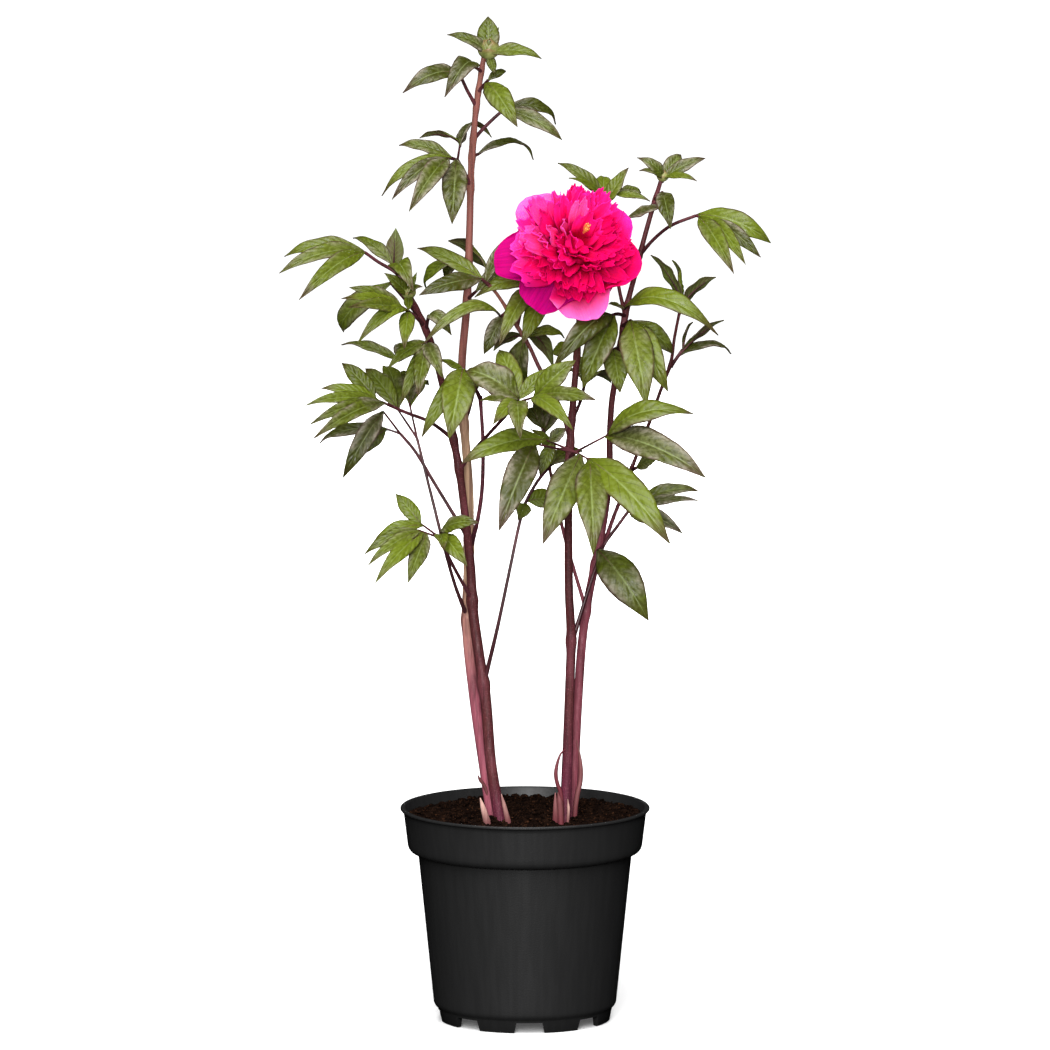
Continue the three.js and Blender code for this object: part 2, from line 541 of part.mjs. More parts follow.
function leaf([, , stalk, sprays]) {
  const points = stalk.map(seen);
  const pieces = [tube(points, points.map(() => STALK_RADIUS), STALK_SIDES, 1)];
  for (const [place, rows] of sprays) {
    const foot = seen(place);
    const end = points.reduce((near, p) => (p.distanceTo(foot) < near.distanceTo(foot) ? p : near));
    const apart = end.distanceTo(foot);
    const ribbed = apart > RIB_RADIUS;
    if (ribbed) pieces.push(tube([end, foot], [RIB_RADIUS, RIB_RADIUS], STALK_SIDES, 1));
    const from = ribbed ? end : points.at(-2);
    const spacing = Math.min(LEAFLET_SPACING, foot.distanceTo(from) / rows.length);
    const back = from.clone().sub(foot).setLength(spacing);
    rows.forEach((row, i) => pieces.push(leaflet(foot.clone().addScaledVector(back, i), row)));
  }
  return unite(pieces);
}

// A bud: a ball with a low point, wrapped by its leafy bracts.
function bud([, , place, radius, rows]) {
  const centre = seen(place);
  const ball = new THREE.LatheGeometry([
    new THREE.Vector2(0, -radius), new THREE.Vector2(radius * 0.7, -radius * 0.72),
    new THREE.Vector2(radius, 0), new THREE.Vector2(radius * 0.75, radius * 0.66),
    new THREE.Vector2(radius * 0.25, radius * 1.05), new THREE.Vector2(0, radius * 1.1),
  ], BUD_SIDES).rotateX(Math.PI / 2).translate(centre.x, centre.y, centre.z);
  const foot = centre.clone().addScaledVector(UP, -radius * 0.55);
  return unite([solid(ball), ...rows.map((row) => leaflet(foot, row))]);
}

// A frame of three directions whose first is the given axis.
function frameAbout(axis) {
  const side = new THREE.Vector3(1, 0, 0).addScaledVector(axis, -axis.x).normalize();
  return [axis, side, axis.clone().cross(side)];
}

// One ring of petals or sepals that springs from a ball about the bloom's seat.
function petalRing(seat, [count, length, angle, curl, cover], ring, root, pointed) {
  const [axis, side, other] = frameAbout(BLOOM_AXIS);
  const lean = THREE.MathUtils.degToRad(angle);
  const width = cover * 2 * Math.PI * WIDEST_SHARE * length * Math.sin(lean) / count;
  return Array.from({ length: count }, (_, i) => {
    const turn = PETAL_TURN + ((i + (ring % 2) / 2) / count) * 2 * Math.PI;
    const uneven = 1 + UNEVEN_LENGTH * Math.sin(i * 2.4 + ring * 1.7);
    const outward = side.clone().multiplyScalar(Math.cos(turn)).addScaledVector(other, Math.sin(turn));
    const reach = lean * (1 + UNEVEN_LEAN * Math.sin(i * 3.1 + ring));
    const heading = axis.clone().multiplyScalar(Math.cos(reach)).addScaledVector(outward, Math.sin(reach));
    const inward = axis.clone().multiplyScalar(Math.sin(reach)).addScaledVector(outward, -Math.cos(reach));
    const foot = seat.clone().addScaledVector(heading, root);
    const tip = seat.clone().addScaledVector(heading, length * uneven);
    return blade({
      foot, tip, width, facing: inward, lift: -curl,
      outline: pointed ? SMALL_LEAFLET : ring < GUARD_RINGS ? GUARD_PETAL : INNER_PETAL,
      fold: PETAL_FOLD,
      thickness: PETAL_THICKNESS,
      pointed,
    });
  });
}

function bloomPetals(seat) {
  const core = new THREE.SphereGeometry(1, CORE_SIDES, CORE_BANDS)
    .scale(CORE_RADIUS, CORE_DEPTH, CORE_RADIUS)
    .applyQuaternion(new THREE.Quaternion().setFromUnitVectors(new THREE.Vector3(0, 1, 0), BLOOM_AXIS))
    .translate(...seat.clone().addScaledVector(BLOOM_AXIS, CORE_DEPTH - CORE_SINK).toArray());
  const rings = PETAL_RINGS.flatMap((row, ring) => petalRing(seat, row, ring, PETAL_ROOT, false));
  return largest(unite([solid(core), ...rings]));
}

// The green calyx behind the bloom, which takes the stem's end in a plain hole.
function bloomSepals(seat) {
  const base = seat.clone().addScaledVector(BLOOM_AXIS, -CALYX_DROP);
  const disc = new THREE.CylinderGeometry(CALYX_TOP_RADIUS, CALYX_FOOT_RADIUS, CALYX_HEIGHT, CALYX_SIDES)
    .applyQuaternion(new THREE.Quaternion().setFromUnitVectors(new THREE.Vector3(0, 1, 0), BLOOM_AXIS))
    .translate(base.x, base.y, base.z);
  return unite([solid(disc), ...petalRing(base, SEPAL_RING, 1, SEPAL_ROOT, true)]);
}

function lathe(profile, sides) {
  const points = profile.map(([radius, height]) => new THREE.Vector2(radius, height));
  return solid(new THREE.LatheGeometry(points, sides).rotateX(Math.PI / 2));
}

// The pot's inner face, from the floor to the rim, drawn in by a clearance.
function potInside(gap) {
  return [
    [BODY_FOOT_RADIUS - WALL - gap, BODY_FOOT_HEIGHT + 1],
    [SHOULDER_RADIUS - WALL - gap, SHOULDER_HEIGHT + 2],
    [COLLAR_FOOT_RADIUS - WALL - gap, COLLAR_FOOT_HEIGHT + 2],
    [COLLAR_TOP_RADIUS - WALL - gap, POT_HEIGHT],
  ];
}

function pot() {
  const floorTop = FLOOR_HEIGHT + WALL;
  const shell = lathe([
    [0, FLOOR_HEIGHT], [FOOT_BASE_RADIUS - FOOT_RING_WALL, FLOOR_HEIGHT],
    [FOOT_BASE_RADIUS - FOOT_RING_WALL, 0], [FOOT_BASE_RADIUS, 0],
    [FOOT_RING_RADIUS, FOOT_RING_TOP], [BODY_FOOT_RADIUS, BODY_FOOT_HEIGHT],
    [SHOULDER_RADIUS, SHOULDER_HEIGHT], [COLLAR_FOOT_RADIUS, COLLAR_FOOT_HEIGHT],
    [COLLAR_TOP_RADIUS, POT_HEIGHT - LIP_DEPTH], [RIM_RADIUS, POT_HEIGHT - LIP_DEPTH + LIP_SLOPE],
    [RIM_RADIUS, POT_HEIGHT], ...potInside(0).reverse(),
    [FOOT_RING_RADIUS - WALL, floorTop], [0, floorTop],
  ], POT_SIDES);
  const cuts = Array.from({ length: FOOT_COUNT }, (_, i) => {
    const turn = (i / FOOT_COUNT) * 2 * Math.PI + THREE.MathUtils.degToRad(FOOT_GAP_TURN);
    const notch = new THREE.BoxGeometry(FOOT_GAP, FOOT_RING_WALL * 4, FOOT_GAP_HEIGHT * 2)
      .translate(0, -FOOT_BASE_RADIUS, 0).rotateZ(turn);
    return solid(notch);
  });
  for (let i = 0; i < DRAIN_COUNT; i++) {
    const turn = ((i + 0.5) / DRAIN_COUNT) * 2 * Math.PI;
    cuts.push(solid(new THREE.CylinderGeometry(DRAIN_RADIUS, DRAIN_RADIUS, WALL * 6, DRAIN_SIDES)
      .rotateX(Math.PI / 2).translate(0, -DRAIN_CIRCLE, FLOOR_HEIGHT).rotateZ(turn)));
  }
  return shell.subtract(unite(cuts));
}

// Height of the soil's uneven top.
function soilTop(x, y) {
  return SOIL_LEVEL
    + SOIL_BUMP * Math.sin(x * 0.13 + 1.2) * Math.cos(y * 0.11)
    + SOIL_BUMP * 0.7 * Math.sin(x * 0.31 + y * 0.23);
}

function soil(rooms) {
  const inside = potInside(CLEARANCE);
  const share = (SOIL_LEVEL - inside[2][1]) / (inside[3][1] - inside[2][1]);
  const edge = THREE.MathUtils.lerp(inside[2][0], inside[3][0], share);
  const ringAt = (radius, height) => Array.from({ length: POT_SIDES }, (_, i) => {
    const turn = (i / POT_SIDES) * 2 * Math.PI;
    const [x, y] = [radius * Math.cos(turn), radius * Math.sin(turn)];
    return new THREE.Vector3(x, y, height === undefined ? soilTop(x, y) : height);
  });
  const floorTop = FLOOR_HEIGHT + WALL + CLEARANCE;
  const rings = [
    [new THREE.Vector3(0, 0, floorTop)],
    ringAt(FOOT_RING_RADIUS - WALL - CLEARANCE, floorTop),
    ...inside.slice(0, 3).map(([radius, height]) => ringAt(radius, height)),
    ...Array.from({ length: SOIL_RINGS }, (_, i) => ringAt(edge * (1 - i / SOIL_RINGS))),
    [new THREE.Vector3(0, 0, soilTop(0, 0))],
  ];
  return skin(rings).subtract(unite(rooms));
}

function sheath([, foot, tip, width, turn, lift], grow = 0) {
  return blade({
    foot: seen(foot), tip: seen(tip), lift,
    width: width + 4 * grow,
    facing: facingOf(turn),
    outline: SHEATH,
    fold: SHEATH_FOLD,
    thickness: SHEATH_THICKNESS + 4 * grow,
    pointed: true,
  });
}

const group = new THREE.Group();

function add(name, made, look) {
  const material = new THREE.MeshStandardMaterial({ ...LOOKS[look], metalness: 0 });
  const mesh = new THREE.Mesh(geometryOf(made), material);
  mesh.name = name;
  group.add(mesh);
}

const stems = Object.fromEntries(Object.entries(STEMS).map(([name, paths]) => [name, stem(paths)]));
const stemRooms = Object.fromEntries(
  Object.entries(STEMS).map(([name, paths]) => [name, stem(paths, CLEARANCE)]));

add("pot", pot(), "pot");
const sheathRooms = SHEATHS.map((row) => sheath(row, CLEARANCE));
add("soil", soil([...Object.values(stemRooms), ...sheathRooms]), "soil");
for (const [name, made] of Object.entries(stems)) add(name, made, "stem");
for (const row of LEAVES) add(row[0], largest(leaf(row).subtract(stemRooms[row[1]])), "leaf");
for (const row of BUDS) add(row[0], largest(bud(row).subtract(stemRooms[row[1]])), "bud");
const seat = seen(BLOOM_SEAT);
const petals = bloomPetals(seat);
add("bloom_sepals", largest(bloomSepals(seat).subtract(stemRooms.stem_bloom)), "bud");
add("bloom_petals", petals, "petal");
for (const row of SHEATHS) add(row[0], sheath(row), "sheath");

export default group;
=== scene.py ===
"""Dresses a potted herbaceous peony: pot, soil, stems, divided leaves, buds and a double bloom."""

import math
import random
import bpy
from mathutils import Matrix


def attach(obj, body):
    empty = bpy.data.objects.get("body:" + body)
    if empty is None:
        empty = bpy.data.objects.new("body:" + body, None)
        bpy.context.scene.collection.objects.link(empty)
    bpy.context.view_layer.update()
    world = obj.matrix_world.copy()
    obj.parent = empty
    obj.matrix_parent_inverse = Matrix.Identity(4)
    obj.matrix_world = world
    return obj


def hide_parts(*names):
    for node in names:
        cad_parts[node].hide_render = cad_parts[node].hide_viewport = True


bl_info = {
    "name": "Potted Peony",
    "version": (1, 0, 0),
    "blender": (4, 5, 0),
    "location": "View3D > Sidebar > Peony",
    "description": "Builds a potted peony in full detail, piece by piece",
    "category": "Object",
}

import bpy
import numpy as np
from bpy.props import FloatProperty, FloatVectorProperty, IntProperty, PointerProperty
from mathutils import Vector, noise

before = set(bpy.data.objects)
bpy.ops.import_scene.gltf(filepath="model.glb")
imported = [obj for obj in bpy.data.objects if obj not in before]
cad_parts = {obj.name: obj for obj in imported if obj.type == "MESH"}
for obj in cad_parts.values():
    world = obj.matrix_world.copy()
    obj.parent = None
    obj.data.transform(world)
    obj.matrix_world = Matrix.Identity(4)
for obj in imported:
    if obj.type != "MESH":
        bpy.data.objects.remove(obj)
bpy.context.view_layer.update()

MM = 0.001
BODY = "root"
# Points of a spun body that are closer than this, in millimetres, become one.
MERGE_WITHIN = 0.02
# Edges of a round stalk that turn more than this stay crisp.
STALK_CREASE = math.radians(60)

# Pot, with lengths in millimetres
RIM_RADIUS = 95
POT_HEIGHT = 164
COLLAR_FOOT_RADIUS = 89.4
COLLAR_FOOT_HEIGHT = 133.2
SHOULDER_RADIUS = 81.5
SHOULDER_HEIGHT = 129.2
BODY_FOOT_RADIUS = 69.8
BODY_FOOT_HEIGHT = 15
FOOT_RING_RADIUS = 66.6
FOOT_RING_TOP = 9.5
FOOT_BASE_RADIUS = 65
FOOT_RING_WALL = 4
FLOOR_HEIGHT = 9
POT_WALL = 1.6
LIP_REACH = 2.4
LIP_DEPTH = 2.6
FOOT_GAP_HEIGHT = 8.2
FOOT_GAP_WIDTH = 23
FOOT_GAPS = 8
# The turn of the first gap from the front
FOOT_GAP_TURN = math.radians(3)
# A gap's width at its top and at its foot, as shares
FOOT_GAP_TOP = 0.86
FOOT_GAP_FOOT = 1.14
DRAIN_RADIUS = 4.5
# The circle that the drain holes stand on, and the length of the rods that cut them
DRAIN_CIRCLE = 50
DRAIN_CUT = 10
DRAINS = 4
POT_STEPS = 144
# Edges of the pot that turn more than this stay crisp.
POT_CREASE = math.radians(38)

# Soil, with lengths in millimetres
SOIL_LEVEL = 159.3
SOIL_BUMP = 1.6
SOIL_RADIUS = 90.2
SOIL_DEPTH = 9
SOIL_DIP = 3
SOIL_STEPS = 180
SOIL_RINGS = 60
# The radius of the smallest crumbs, how much larger the largest are, and how lumpy, as a share
CRUMB_RADIUS = 0.6
CRUMB_GROWTH = 2.2
CRUMB_LUMPS = 0.45
# Where a fibre bends and where it ends, along it
FIBRE_BEND = 2.4
FIBRE_LENGTH = 4.5
FIBRE_RADIUS = 0.22

# Foliage, with lengths in millimetres
STALK_RADIUS = 1.3
RIB_RADIUS = 1.0
LEAFLET_SPACING = 3
# Leaflets wider than this are slimmed, and narrower ones filled out, by a low power of the width.
MIDDLING_WIDTH = 10
SLIMMING_POWER = 0.15
# The raised rib below a leaflet: how far it stands off the blade, and its radius at foot and tip
RIB_RISE = 0.2
RIB_TAPER = (0.8, 0.25)
# The tone of the dullest leaflets on the left stem, whose leaves are fresher: 0 is dull and 1 is fresh.
LEFT_STEM_TONE = 0.4
STEM_DEPTH_IN_SOIL = 12
STEM_SIDES = 20
# Where a leaf or branch springs, a stem swells over this length, by this share of its radius.
JOINT_REACH = 5
JOINT_SWELL = 0.28

# The tables below give places as [across, up, away] in millimetres, as they are seen from the front
# with the eye this far above the horizon. Each depth is then stretched by the second value.
VIEW_TILT = math.radians(9)
PLANT_DEPTH = 1.35

# Stems as lines of [across, up, away, radius] from the soil to the top, each with its branches
STEMS = {
    "stem_tall": [
        [
            [-24, 152, -12, 4.9], [-31, 195, -9, 4.5], [-39, 250, -5, 4.2], [-44, 300, 0, 4.1],
            [-43, 345, 5, 3.8], [-42.5, 400, 8, 3.5], [-46, 450, 7, 3.3], [-48, 495, 4, 3.1],
            [-44, 545, 2, 2.9], [-42, 600, 0, 2.7], [-40.5, 650, 0, 2.5], [-36.5, 695, -2, 2.2],
            [-31, 731, -3, 1.8],
        ],
        [
            [-42, 358, 6, 2.0], [-36, 380, 0, 1.7], [-32.5, 405, -4, 1.6], [-32, 440, -4, 1.5],
            [-34, 474, -4, 1.4],
        ],
    ],
    "stem_left": [
        [
            [-19, 152, -27, 4.7], [-25.8, 195, -24, 4.1], [-30, 245, -19, 4.2], [-35.2, 280, -15, 4.0],
            [-39.5, 312, -11, 3.9], [-41.3, 345, -8, 3.5], [-45.2, 380, -8, 3.1], [-50, 418, -9, 3.0],
            [-55, 445, -9, 2.9], [-61, 475, -11, 2.7], [-68, 503, -14, 2.5], [-76, 526, -18, 2.3],
            [-86, 547, -23, 1.9],
        ],
    ],
    "stem_bloom": [
        [
            [30.5, 152, -28, 4.4], [32.2, 200, -26, 4.0], [33.8, 250, -24, 3.6], [35, 290, -22, 3.6],
            [33.4, 325, -21, 3.3], [33, 380, -19, 3.1], [34, 430, -17, 2.9], [36.5, 470, -16, 2.6],
            [39, 500, -15, 2.4], [41, 532, -15, 2.3], [39, 558, -15, 2.3], [32.5, 578, -21, 2.3],
        ],
        [
            [35, 438, -17, 1.9], [28, 462, -12, 1.7], [18, 482, -8, 1.7], [10, 497, -6, 1.6],
            [3, 512, -6, 1.5], [-5, 525, -6, 1.4], [-14, 540, -8, 1.4], [-23, 553, -12, 1.3],
            [-30, 560, -16, 1.2],
        ],
    ],
    "stem_right": [
        [
            [36, 152, -14, 4.2], [37.8, 200, -11, 3.8], [40.7, 250, -7, 3.5], [43.7, 290, -3, 3.4],
            [48, 320, 0, 3.3], [54, 350, 4, 3.1], [60, 380, 7, 2.8], [64, 412, 9, 2.6],
            [64.5, 445, 10, 2.5], [66, 470, 9, 2.4], [70, 495, 7, 2.3], [74, 523, 6, 2.2],
            [78, 545, 7, 2.1], [84, 568, 9, 2.0], [90, 592, 10, 1.9], [97, 617, 12, 1.8],
            [103, 637, 13, 1.6],
        ],
        [
            [53, 346, 4, 1.8], [60, 362, 11, 1.7], [67, 381, 17, 1.6], [75, 402, 23, 1.5],
            [84, 427, 28, 1.4], [95, 455, 32, 1.4], [103, 478, 34, 1.3], [111, 500, 34, 1.3],
            [114, 520, 33, 1.2], [119, 545, 30, 1.1],
        ],
        [
            [47, 310, 0, 1.6], [38, 340, 5, 1.4], [30, 368, 10, 1.4], [21, 408, 14, 1.3],
            [14, 447, 16, 1.2],
        ],
        [
            [76, 536, 6, 1.6], [72, 553, 14, 1.4], [68, 576, 20, 1.3], [64, 600, 24, 1.3],
            [60, 620, 24, 1.2],
        ],
    ],
}

# Stems whose side branches are dark
DARK_BRANCHES = ("stem_tall",)

# Leaves: name, the stem that carries it, its stalk from the stem, then its sprays.
# A spray is the point that its leaflets spring from and a row for each leaflet's tip:
# across, up, away, width, the angle its upper face turns to the front, and how far it arches.
LEAVES = [
  ["leaf_tall_1", "stem_tall", [[-37, 693, -2], [-44, 705, -8], [-49, 716, -12]], [
    [[-49, 716, -12], [[-93, 702, -34, 13, 50, 0.22]]],
  ]],
  ["leaf_tall_2", "stem_tall", [[-33, 719, -3], [-38, 722, -10]], [
    [[-38, 722, -10], [[-61, 698, -44, 14, 55, 0.3]]],
  ]],
  ["leaf_tall_3", "stem_tall", [[-35, 704, -3], [-28, 712, -9]], [
    [[-28, 712, -9], [[-14, 720, 2, 5, 50, 0.1], [-6, 676, -42, 15, 60, 0.14]]],
  ]],
  ["leaf_tall_4", "stem_tall", [[-39, 668, 0], [-28, 680, 8], [-14, 693, 14]], [
    [[-14, 693, 14], [[25, 681, 28, 10, 40, 0.22], [29, 668, 6, 10, 50, 0.14]]],
  ]],
  ["leaf_tall_5", "stem_tall", [[-41, 632, 0], [-46, 643, -5], [-51, 652, -10]], [
    [[-56, 654, -12], [[-96, 664, -8, 9, 45, 0.14], [-110, 625, -24, 9, 45, 0.25]]],
    [[-60, 653, -18], [[-101, 621, -42, 9, 50, 0.18], [-87, 612, -58, 13, 60, 0.14]]],
    [[-52, 652, -14], [[-55, 603, -46, 16, 80, 0.1]]],
    [[-49, 666, 6], [[-80, 671, 22, 8, -30, 0.12], [-47, 678, 30, 6, -40, 0], [-25, 672, 30, 8, -30, 0.3]]],
  ]],
  ["leaf_tall_6", "stem_tall", [[-40, 655, 0], [-36, 657, 10]], [
    [[-36, 657, 10], [[8, 656, 44, 8, 25, 0.2]]],
  ]],
  ["leaf_tall_7", "stem_tall", [[-44, 547, 2], [-37, 553, -8]], [
    [[-37, 553, -8], [[-5, 579, -2, 9, 45, 0.1]]],
  ]],
  ["leaf_tall_8", "stem_tall", [[-43, 574, 1], [-50, 579, 16]], [
    [[-50, 579, 16], [[-77, 556, 34, 8, 50, 0.2], [-61, 563, 36, 9, 60, 0.1]]],
  ]],
  ["leaf_tall_9", "stem_tall", [[-34, 472, -4], [-40, 484, -14], [-47, 494, -24]], [
    [[-47, 494, -26], [[-57, 441, -62, 22, 80, 0.14], [-79, 441, -46, 10, 70, 0.18],
      [-64, 501, -34, 5, 50, 0]]],
  ]],
  ["leaf_tall_10", "stem_tall", [[-43, 366, 6], [-56, 387, 16], [-70, 410, 24], [-84, 433, 32],
    [-95, 446, 38]], [
    [[-106, 450, 38], [[-128, 429, 34, 10, 60, 0.1], [-159, 440, 56, 9, 50, 0.15]]],
    [[-108, 463, 28], [[-139, 411, 8, 12, 70, 0.2]]],
  ]],
  ["leaf_tall_11", "stem_tall",
    [[-43, 304, 0], [-53, 330, -4], [-61, 358, -6], [-69, 390, -4], [-76, 418, 2], [-82, 442, 6]], [
    [[-98, 466, 18], [[-122, 497, 38, 13, 40, 0.1], [-108, 500, 66, 12, -30, 0.1]]],
    [[-88, 469, 24], [[-92, 496, 60, 12, -40, 0.1], [-74, 486, 70, 11, -30, 0.1]]],
  ]],
  ["leaf_tall_12", "stem_tall", [[-46, 452, 7], [-42, 466, 30], [-38, 482, 52]], [
    [[-38, 482, 52], [[-58, 488, 96, 16, -40, 0.1], [-30, 492, 104, 16, -40, 0.12],
      [-12, 486, 90, 14, -40, 0.1]]],
  ]],
  ["leaf_left_1", "stem_left",
    [[-83, 541, -20], [-90, 556, -12], [-98, 567, -8], [-111, 575, -10], [-121, 582, -14]], [
    [[-122, 583, -14], [
      [-183, 580, -24, 12, 45, 0.18], [-186, 567, -44, 12, 50, 0.14], [-170, 546, -64, 12, 60, 0.14]]],
    [[-100, 573, 0], [[-131, 596, 22, 10, 30, 0.12], [-98, 601, 14, 11, -60, 0.05]]],
    [[-96, 566, -14], [[-84, 552, -50, 13, 60, 0.3]]],
  ]],
  ["leaf_left_2", "stem_left", [[-78, 530, -19], [-90, 546, 0], [-102, 560, 14]], [
    [[-102, 560, 14], [[-140, 522, 34, 15, 60, 0.3]]],
  ]],
  ["leaf_left_3", "stem_left", [[-76, 527, -18], [-85, 535, -30], [-93, 540, -42]], [
    [[-93, 540, -42], [
      [-132, 555, -58, 10, 60, 0.1], [-137, 547, -74, 9, 60, 0.08], [-131, 540, -88, 9, 65, 0.05],
      [-127, 512, -72, 9, 55, 0.25], [-91, 509, -72, 9, 75, 0.1]]],
  ]],
  ["leaf_left_4", "stem_left", [[-75, 523, -17], [-73, 534, -28]], [
    [[-73, 534, -28], [[-55, 519, -40, 10, 55, 0.4]]],
  ]],
  ["leaf_left_5", "stem_left", [[-68, 504, -14], [-82, 507, -2], [-96, 501, 8]], [
    [[-96, 501, 8], [[-140, 515, 20, 9, 30, 0.1], [-88, 514, 44, 12, -50, 0.1]]],
  ]],
  ["leaf_left_6", "stem_left", [[-72, 515, -16], [-75, 513, -30]], [
    [[-75, 513, -30], [
      [-81, 473, -66, 10, 75, 0.1], [-62, 487, -56, 10, 75, 0.15], [-104, 494, -52, 9, 55, 0.15],
      [-94, 467, -44, 8, 60, 0.12]]],
  ]],
  ["leaf_left_7", "stem_left", [[-54, 441, -9], [-72, 454, -18], [-90, 461, -26], [-104, 467, -32]], [
    [[-113, 471, -34], [
      [-139, 499, -26, 11, 50, 0.1], [-154, 480, -42, 10, 50, 0.1], [-166, 467, -56, 8, 50, 0.1],
      [-162, 452, -70, 9, 55, 0.12], [-159, 441, -86, 10, 60, 0.12]]],
  ]],
  ["leaf_left_8", "stem_left", [[-40, 319, -10], [-49, 335, -18], [-57, 350, -26], [-64, 366, -32]], [
    [[-79, 377, -36], [[-98, 400, -28, 10, 55, 0.05], [-116, 363, -44, 9, 50, 0.2]]],
    [[-81, 372, -42], [
      [-122, 354, -58, 8, 50, 0.15], [-119, 346, -72, 8, 55, 0.12], [-113, 333, -84, 10, 60, 0.1],
      [-88, 333, -74, 11, 75, 0.08]]],
    [[-64, 371, -34], [[-35, 378, -50, 11, 50, 0.15], [-44, 345, -60, 11, 65, 0.12],
      [-61, 357, -66, 8, 70, 0.1]]],
  ]],
  ["leaf_left_9", "stem_left", [[-49, 419, -9], [-40, 431, -20], [-28, 444, -32], [-14, 459, -44],
    [-6, 468, -50]], [
    [[-5, 471, -52], [
      [-46, 493, -44, 23, 55, 0.22], [-20, 510, -20, 15, 50, 0.1], [19, 495, -40, 9, 50, 0.08],
      [-33, 470, -70, 6, 40, 0.05], [-24, 452, -84, 11, 65, 0.12], [-4, 441, -94, 13, 75, 0.15]]],
    [[10, 473, -58], [[53, 470, -86, 11, 55, 0.1], [38, 500, -62, 15, 60, 0.1],
      [36, 448, -96, 11, 60, 0.15]]],
  ]],
  ["leaf_left_10", "stem_left",
    [[-31, 256, -18], [-20.5, 300, -22], [-11, 345, -20], [-4, 378, -16], [0, 392, -12], [10, 410, -2],
      [19, 421, 6]], [
    [[1, 392, -12], [[-5, 380, -28, 9, 70, 0.1], [24, 396, 2, 14, 60, 0.1]]],
    [[20, 422, 8], [[6, 449, -16, 12, 50, 0.1], [44, 434, 34, 12, 40, 0.12]]],
  ]],
  ["leaf_bloom_1", "stem_bloom", [[-28, 558, -15], [-33, 562, -19]], [
    [[-33, 562, -19], [[-80, 550, -40, 13, 55, 0.1], [-82, 587, -8, 11, 50, 0.12],
      [-18, 590, -12, 6, 40, 0.05]]],
    [[-25, 561, -3], [[-57, 594, 36, 22, -50, 0.1]]],
  ]],
  ["leaf_bloom_2", "stem_bloom", [[-13, 538, -8], [-18, 534, -14]], [
    [[-18, 534, -14], [[-79, 512, -52, 10, 45, 0.3], [-31, 505, -22, 10, 70, 0.14]]],
  ]],
  ["leaf_bloom_3", "stem_bloom", [[-1, 518, -6], [2, 519, 6]], [
    [[2, 519, 6], [[31, 519, 16, 8, 40, 0.2], [22, 497, 34, 11, -40, 0.2], [-24, 510, 26, 11, -30, 0.12],
      [-6, 474, 22, 17, 40, 0.1]]],
  ]],
  ["leaf_bloom_4", "stem_bloom", [[-6, 527, -6], [-2, 541, 2], [4, 556, 6]], [
    [[4, 556, 4], [[-20, 512, -36, 12, 65, 0.15], [-39, 549, -14, 12, 50, 0.28]]],
    [[17, 558, 2], [[-2, 513, -26, 13, 70, 0.1], [14, 600, 52, 16, -50, 0.12]]],
  ]],
  ["leaf_bloom_5", "stem_bloom", [[40, 504, -15], [37, 509, -4]], [
    [[37, 509, -4], [[20, 507, 6, 10, 50, 0.15], [46, 518, 40, 13, -40, 0.15]]],
  ]],
  ["leaf_bloom_6", "stem_bloom", [[34, 426, -17], [36, 430, -26], [38, 431, -32]], [
    [[16, 440, -40], [[-49, 423, -64, 18, 50, 0.15], [31, 449, -40, 8, 50, 0.05],
      [11, 413, -46, 8, 60, 0.1]]],
    [[7, 437, -50], [[-20, 371, -92, 20, 70, 0.15]]],
    [[42, 429, -38], [[13, 362, -84, 23, 75, 0.12]]],
    [[63, 444, -46], [[128, 461, -62, 17, 50, 0.25], [137, 412, -80, 22, 55, 0.15]]],
    [[49, 425, -46], [[52, 354, -104, 21, 80, 0.12], [110, 362, -92, 24, 60, 0.15]]],
  ]],
  ["leaf_bloom_7", "stem_bloom",
    [[36, 288, -22], [44, 314, -17], [53, 342, -14], [60, 361, -14], [70, 375, -10], [78, 386, -4]], [
    [[55, 357, -22], [[94, 303, -46, 25, 65, 0.22]]],
    [[81, 388, -2], [[120, 370, -20, 10, 55, 0.12], [100, 375, -30, 8, 60, 0.05]]],
    [[86, 394, 2], [[133, 403, 4, 10, 45, 0.15], [131, 396, -12, 7, 45, 0.05]]],
  ]],
  ["leaf_bloom_8", "stem_bloom", [[36, 456, -16], [42, 470, 14], [46, 486, 40]], [
    [[46, 486, 40], [[24, 492, 84, 15, -40, 0.1], [48, 500, 104, 16, -40, 0.12],
      [66, 488, 82, 15, -40, 0.1]]],
  ]],
  ["leaf_right_1", "stem_right", [[76, 535, 6], [70, 536, -4], [66, 535, -12]], [
    [[66, 535, -12], [[21, 494, -50, 15, 60, 0.25], [43, 479, -34, 18, 70, 0.15]]],
  ]],
  ["leaf_right_2", "stem_right", [[78, 543, 7], [75, 540, -6]], [
    [[75, 540, -6], [[148, 520, -36, 16, 50, 0.33], [64, 544, -14, 6, 30, 0]]],
  ]],
  ["leaf_right_3", "stem_right", [[74, 527, 6], [80, 531, -12]], [
    [[80, 531, -12], [
      [92, 466, -60, 22, 75, 0.12], [108, 476, -38, 18, 70, 0.2], [113, 505, -8, 12, 60, 0.3],
      [103, 484, 0, 9, 60, 0.1]]],
  ]],
  ["leaf_right_4", "stem_right", [[118, 541, 30], [120, 548, 30]], [
    [[120, 548, 30], [[97, 583, 44, 13, -40, 0.05], [114, 579, 56, 14, -50, 0.05],
      [145, 566, 38, 11, -40, 0.08]]],
  ]],
  ["leaf_right_5", "stem_right", [[111, 497, 34], [120, 510, 42]], [
    [[120, 510, 42], [[127, 532, 54, 9, -40, 0.05], [151, 534, 50, 10, -30, 0.05],
      [159, 509, 66, 7, 30, 0.15]]],
  ]],
  ["leaf_right_6", "stem_right", [[87, 581, 10], [99, 594, 4], [111, 603, -2], [129, 610, -6]], [
    [[131, 611, -7], [[187, 589, -16, 15, 55, 0.2]]],
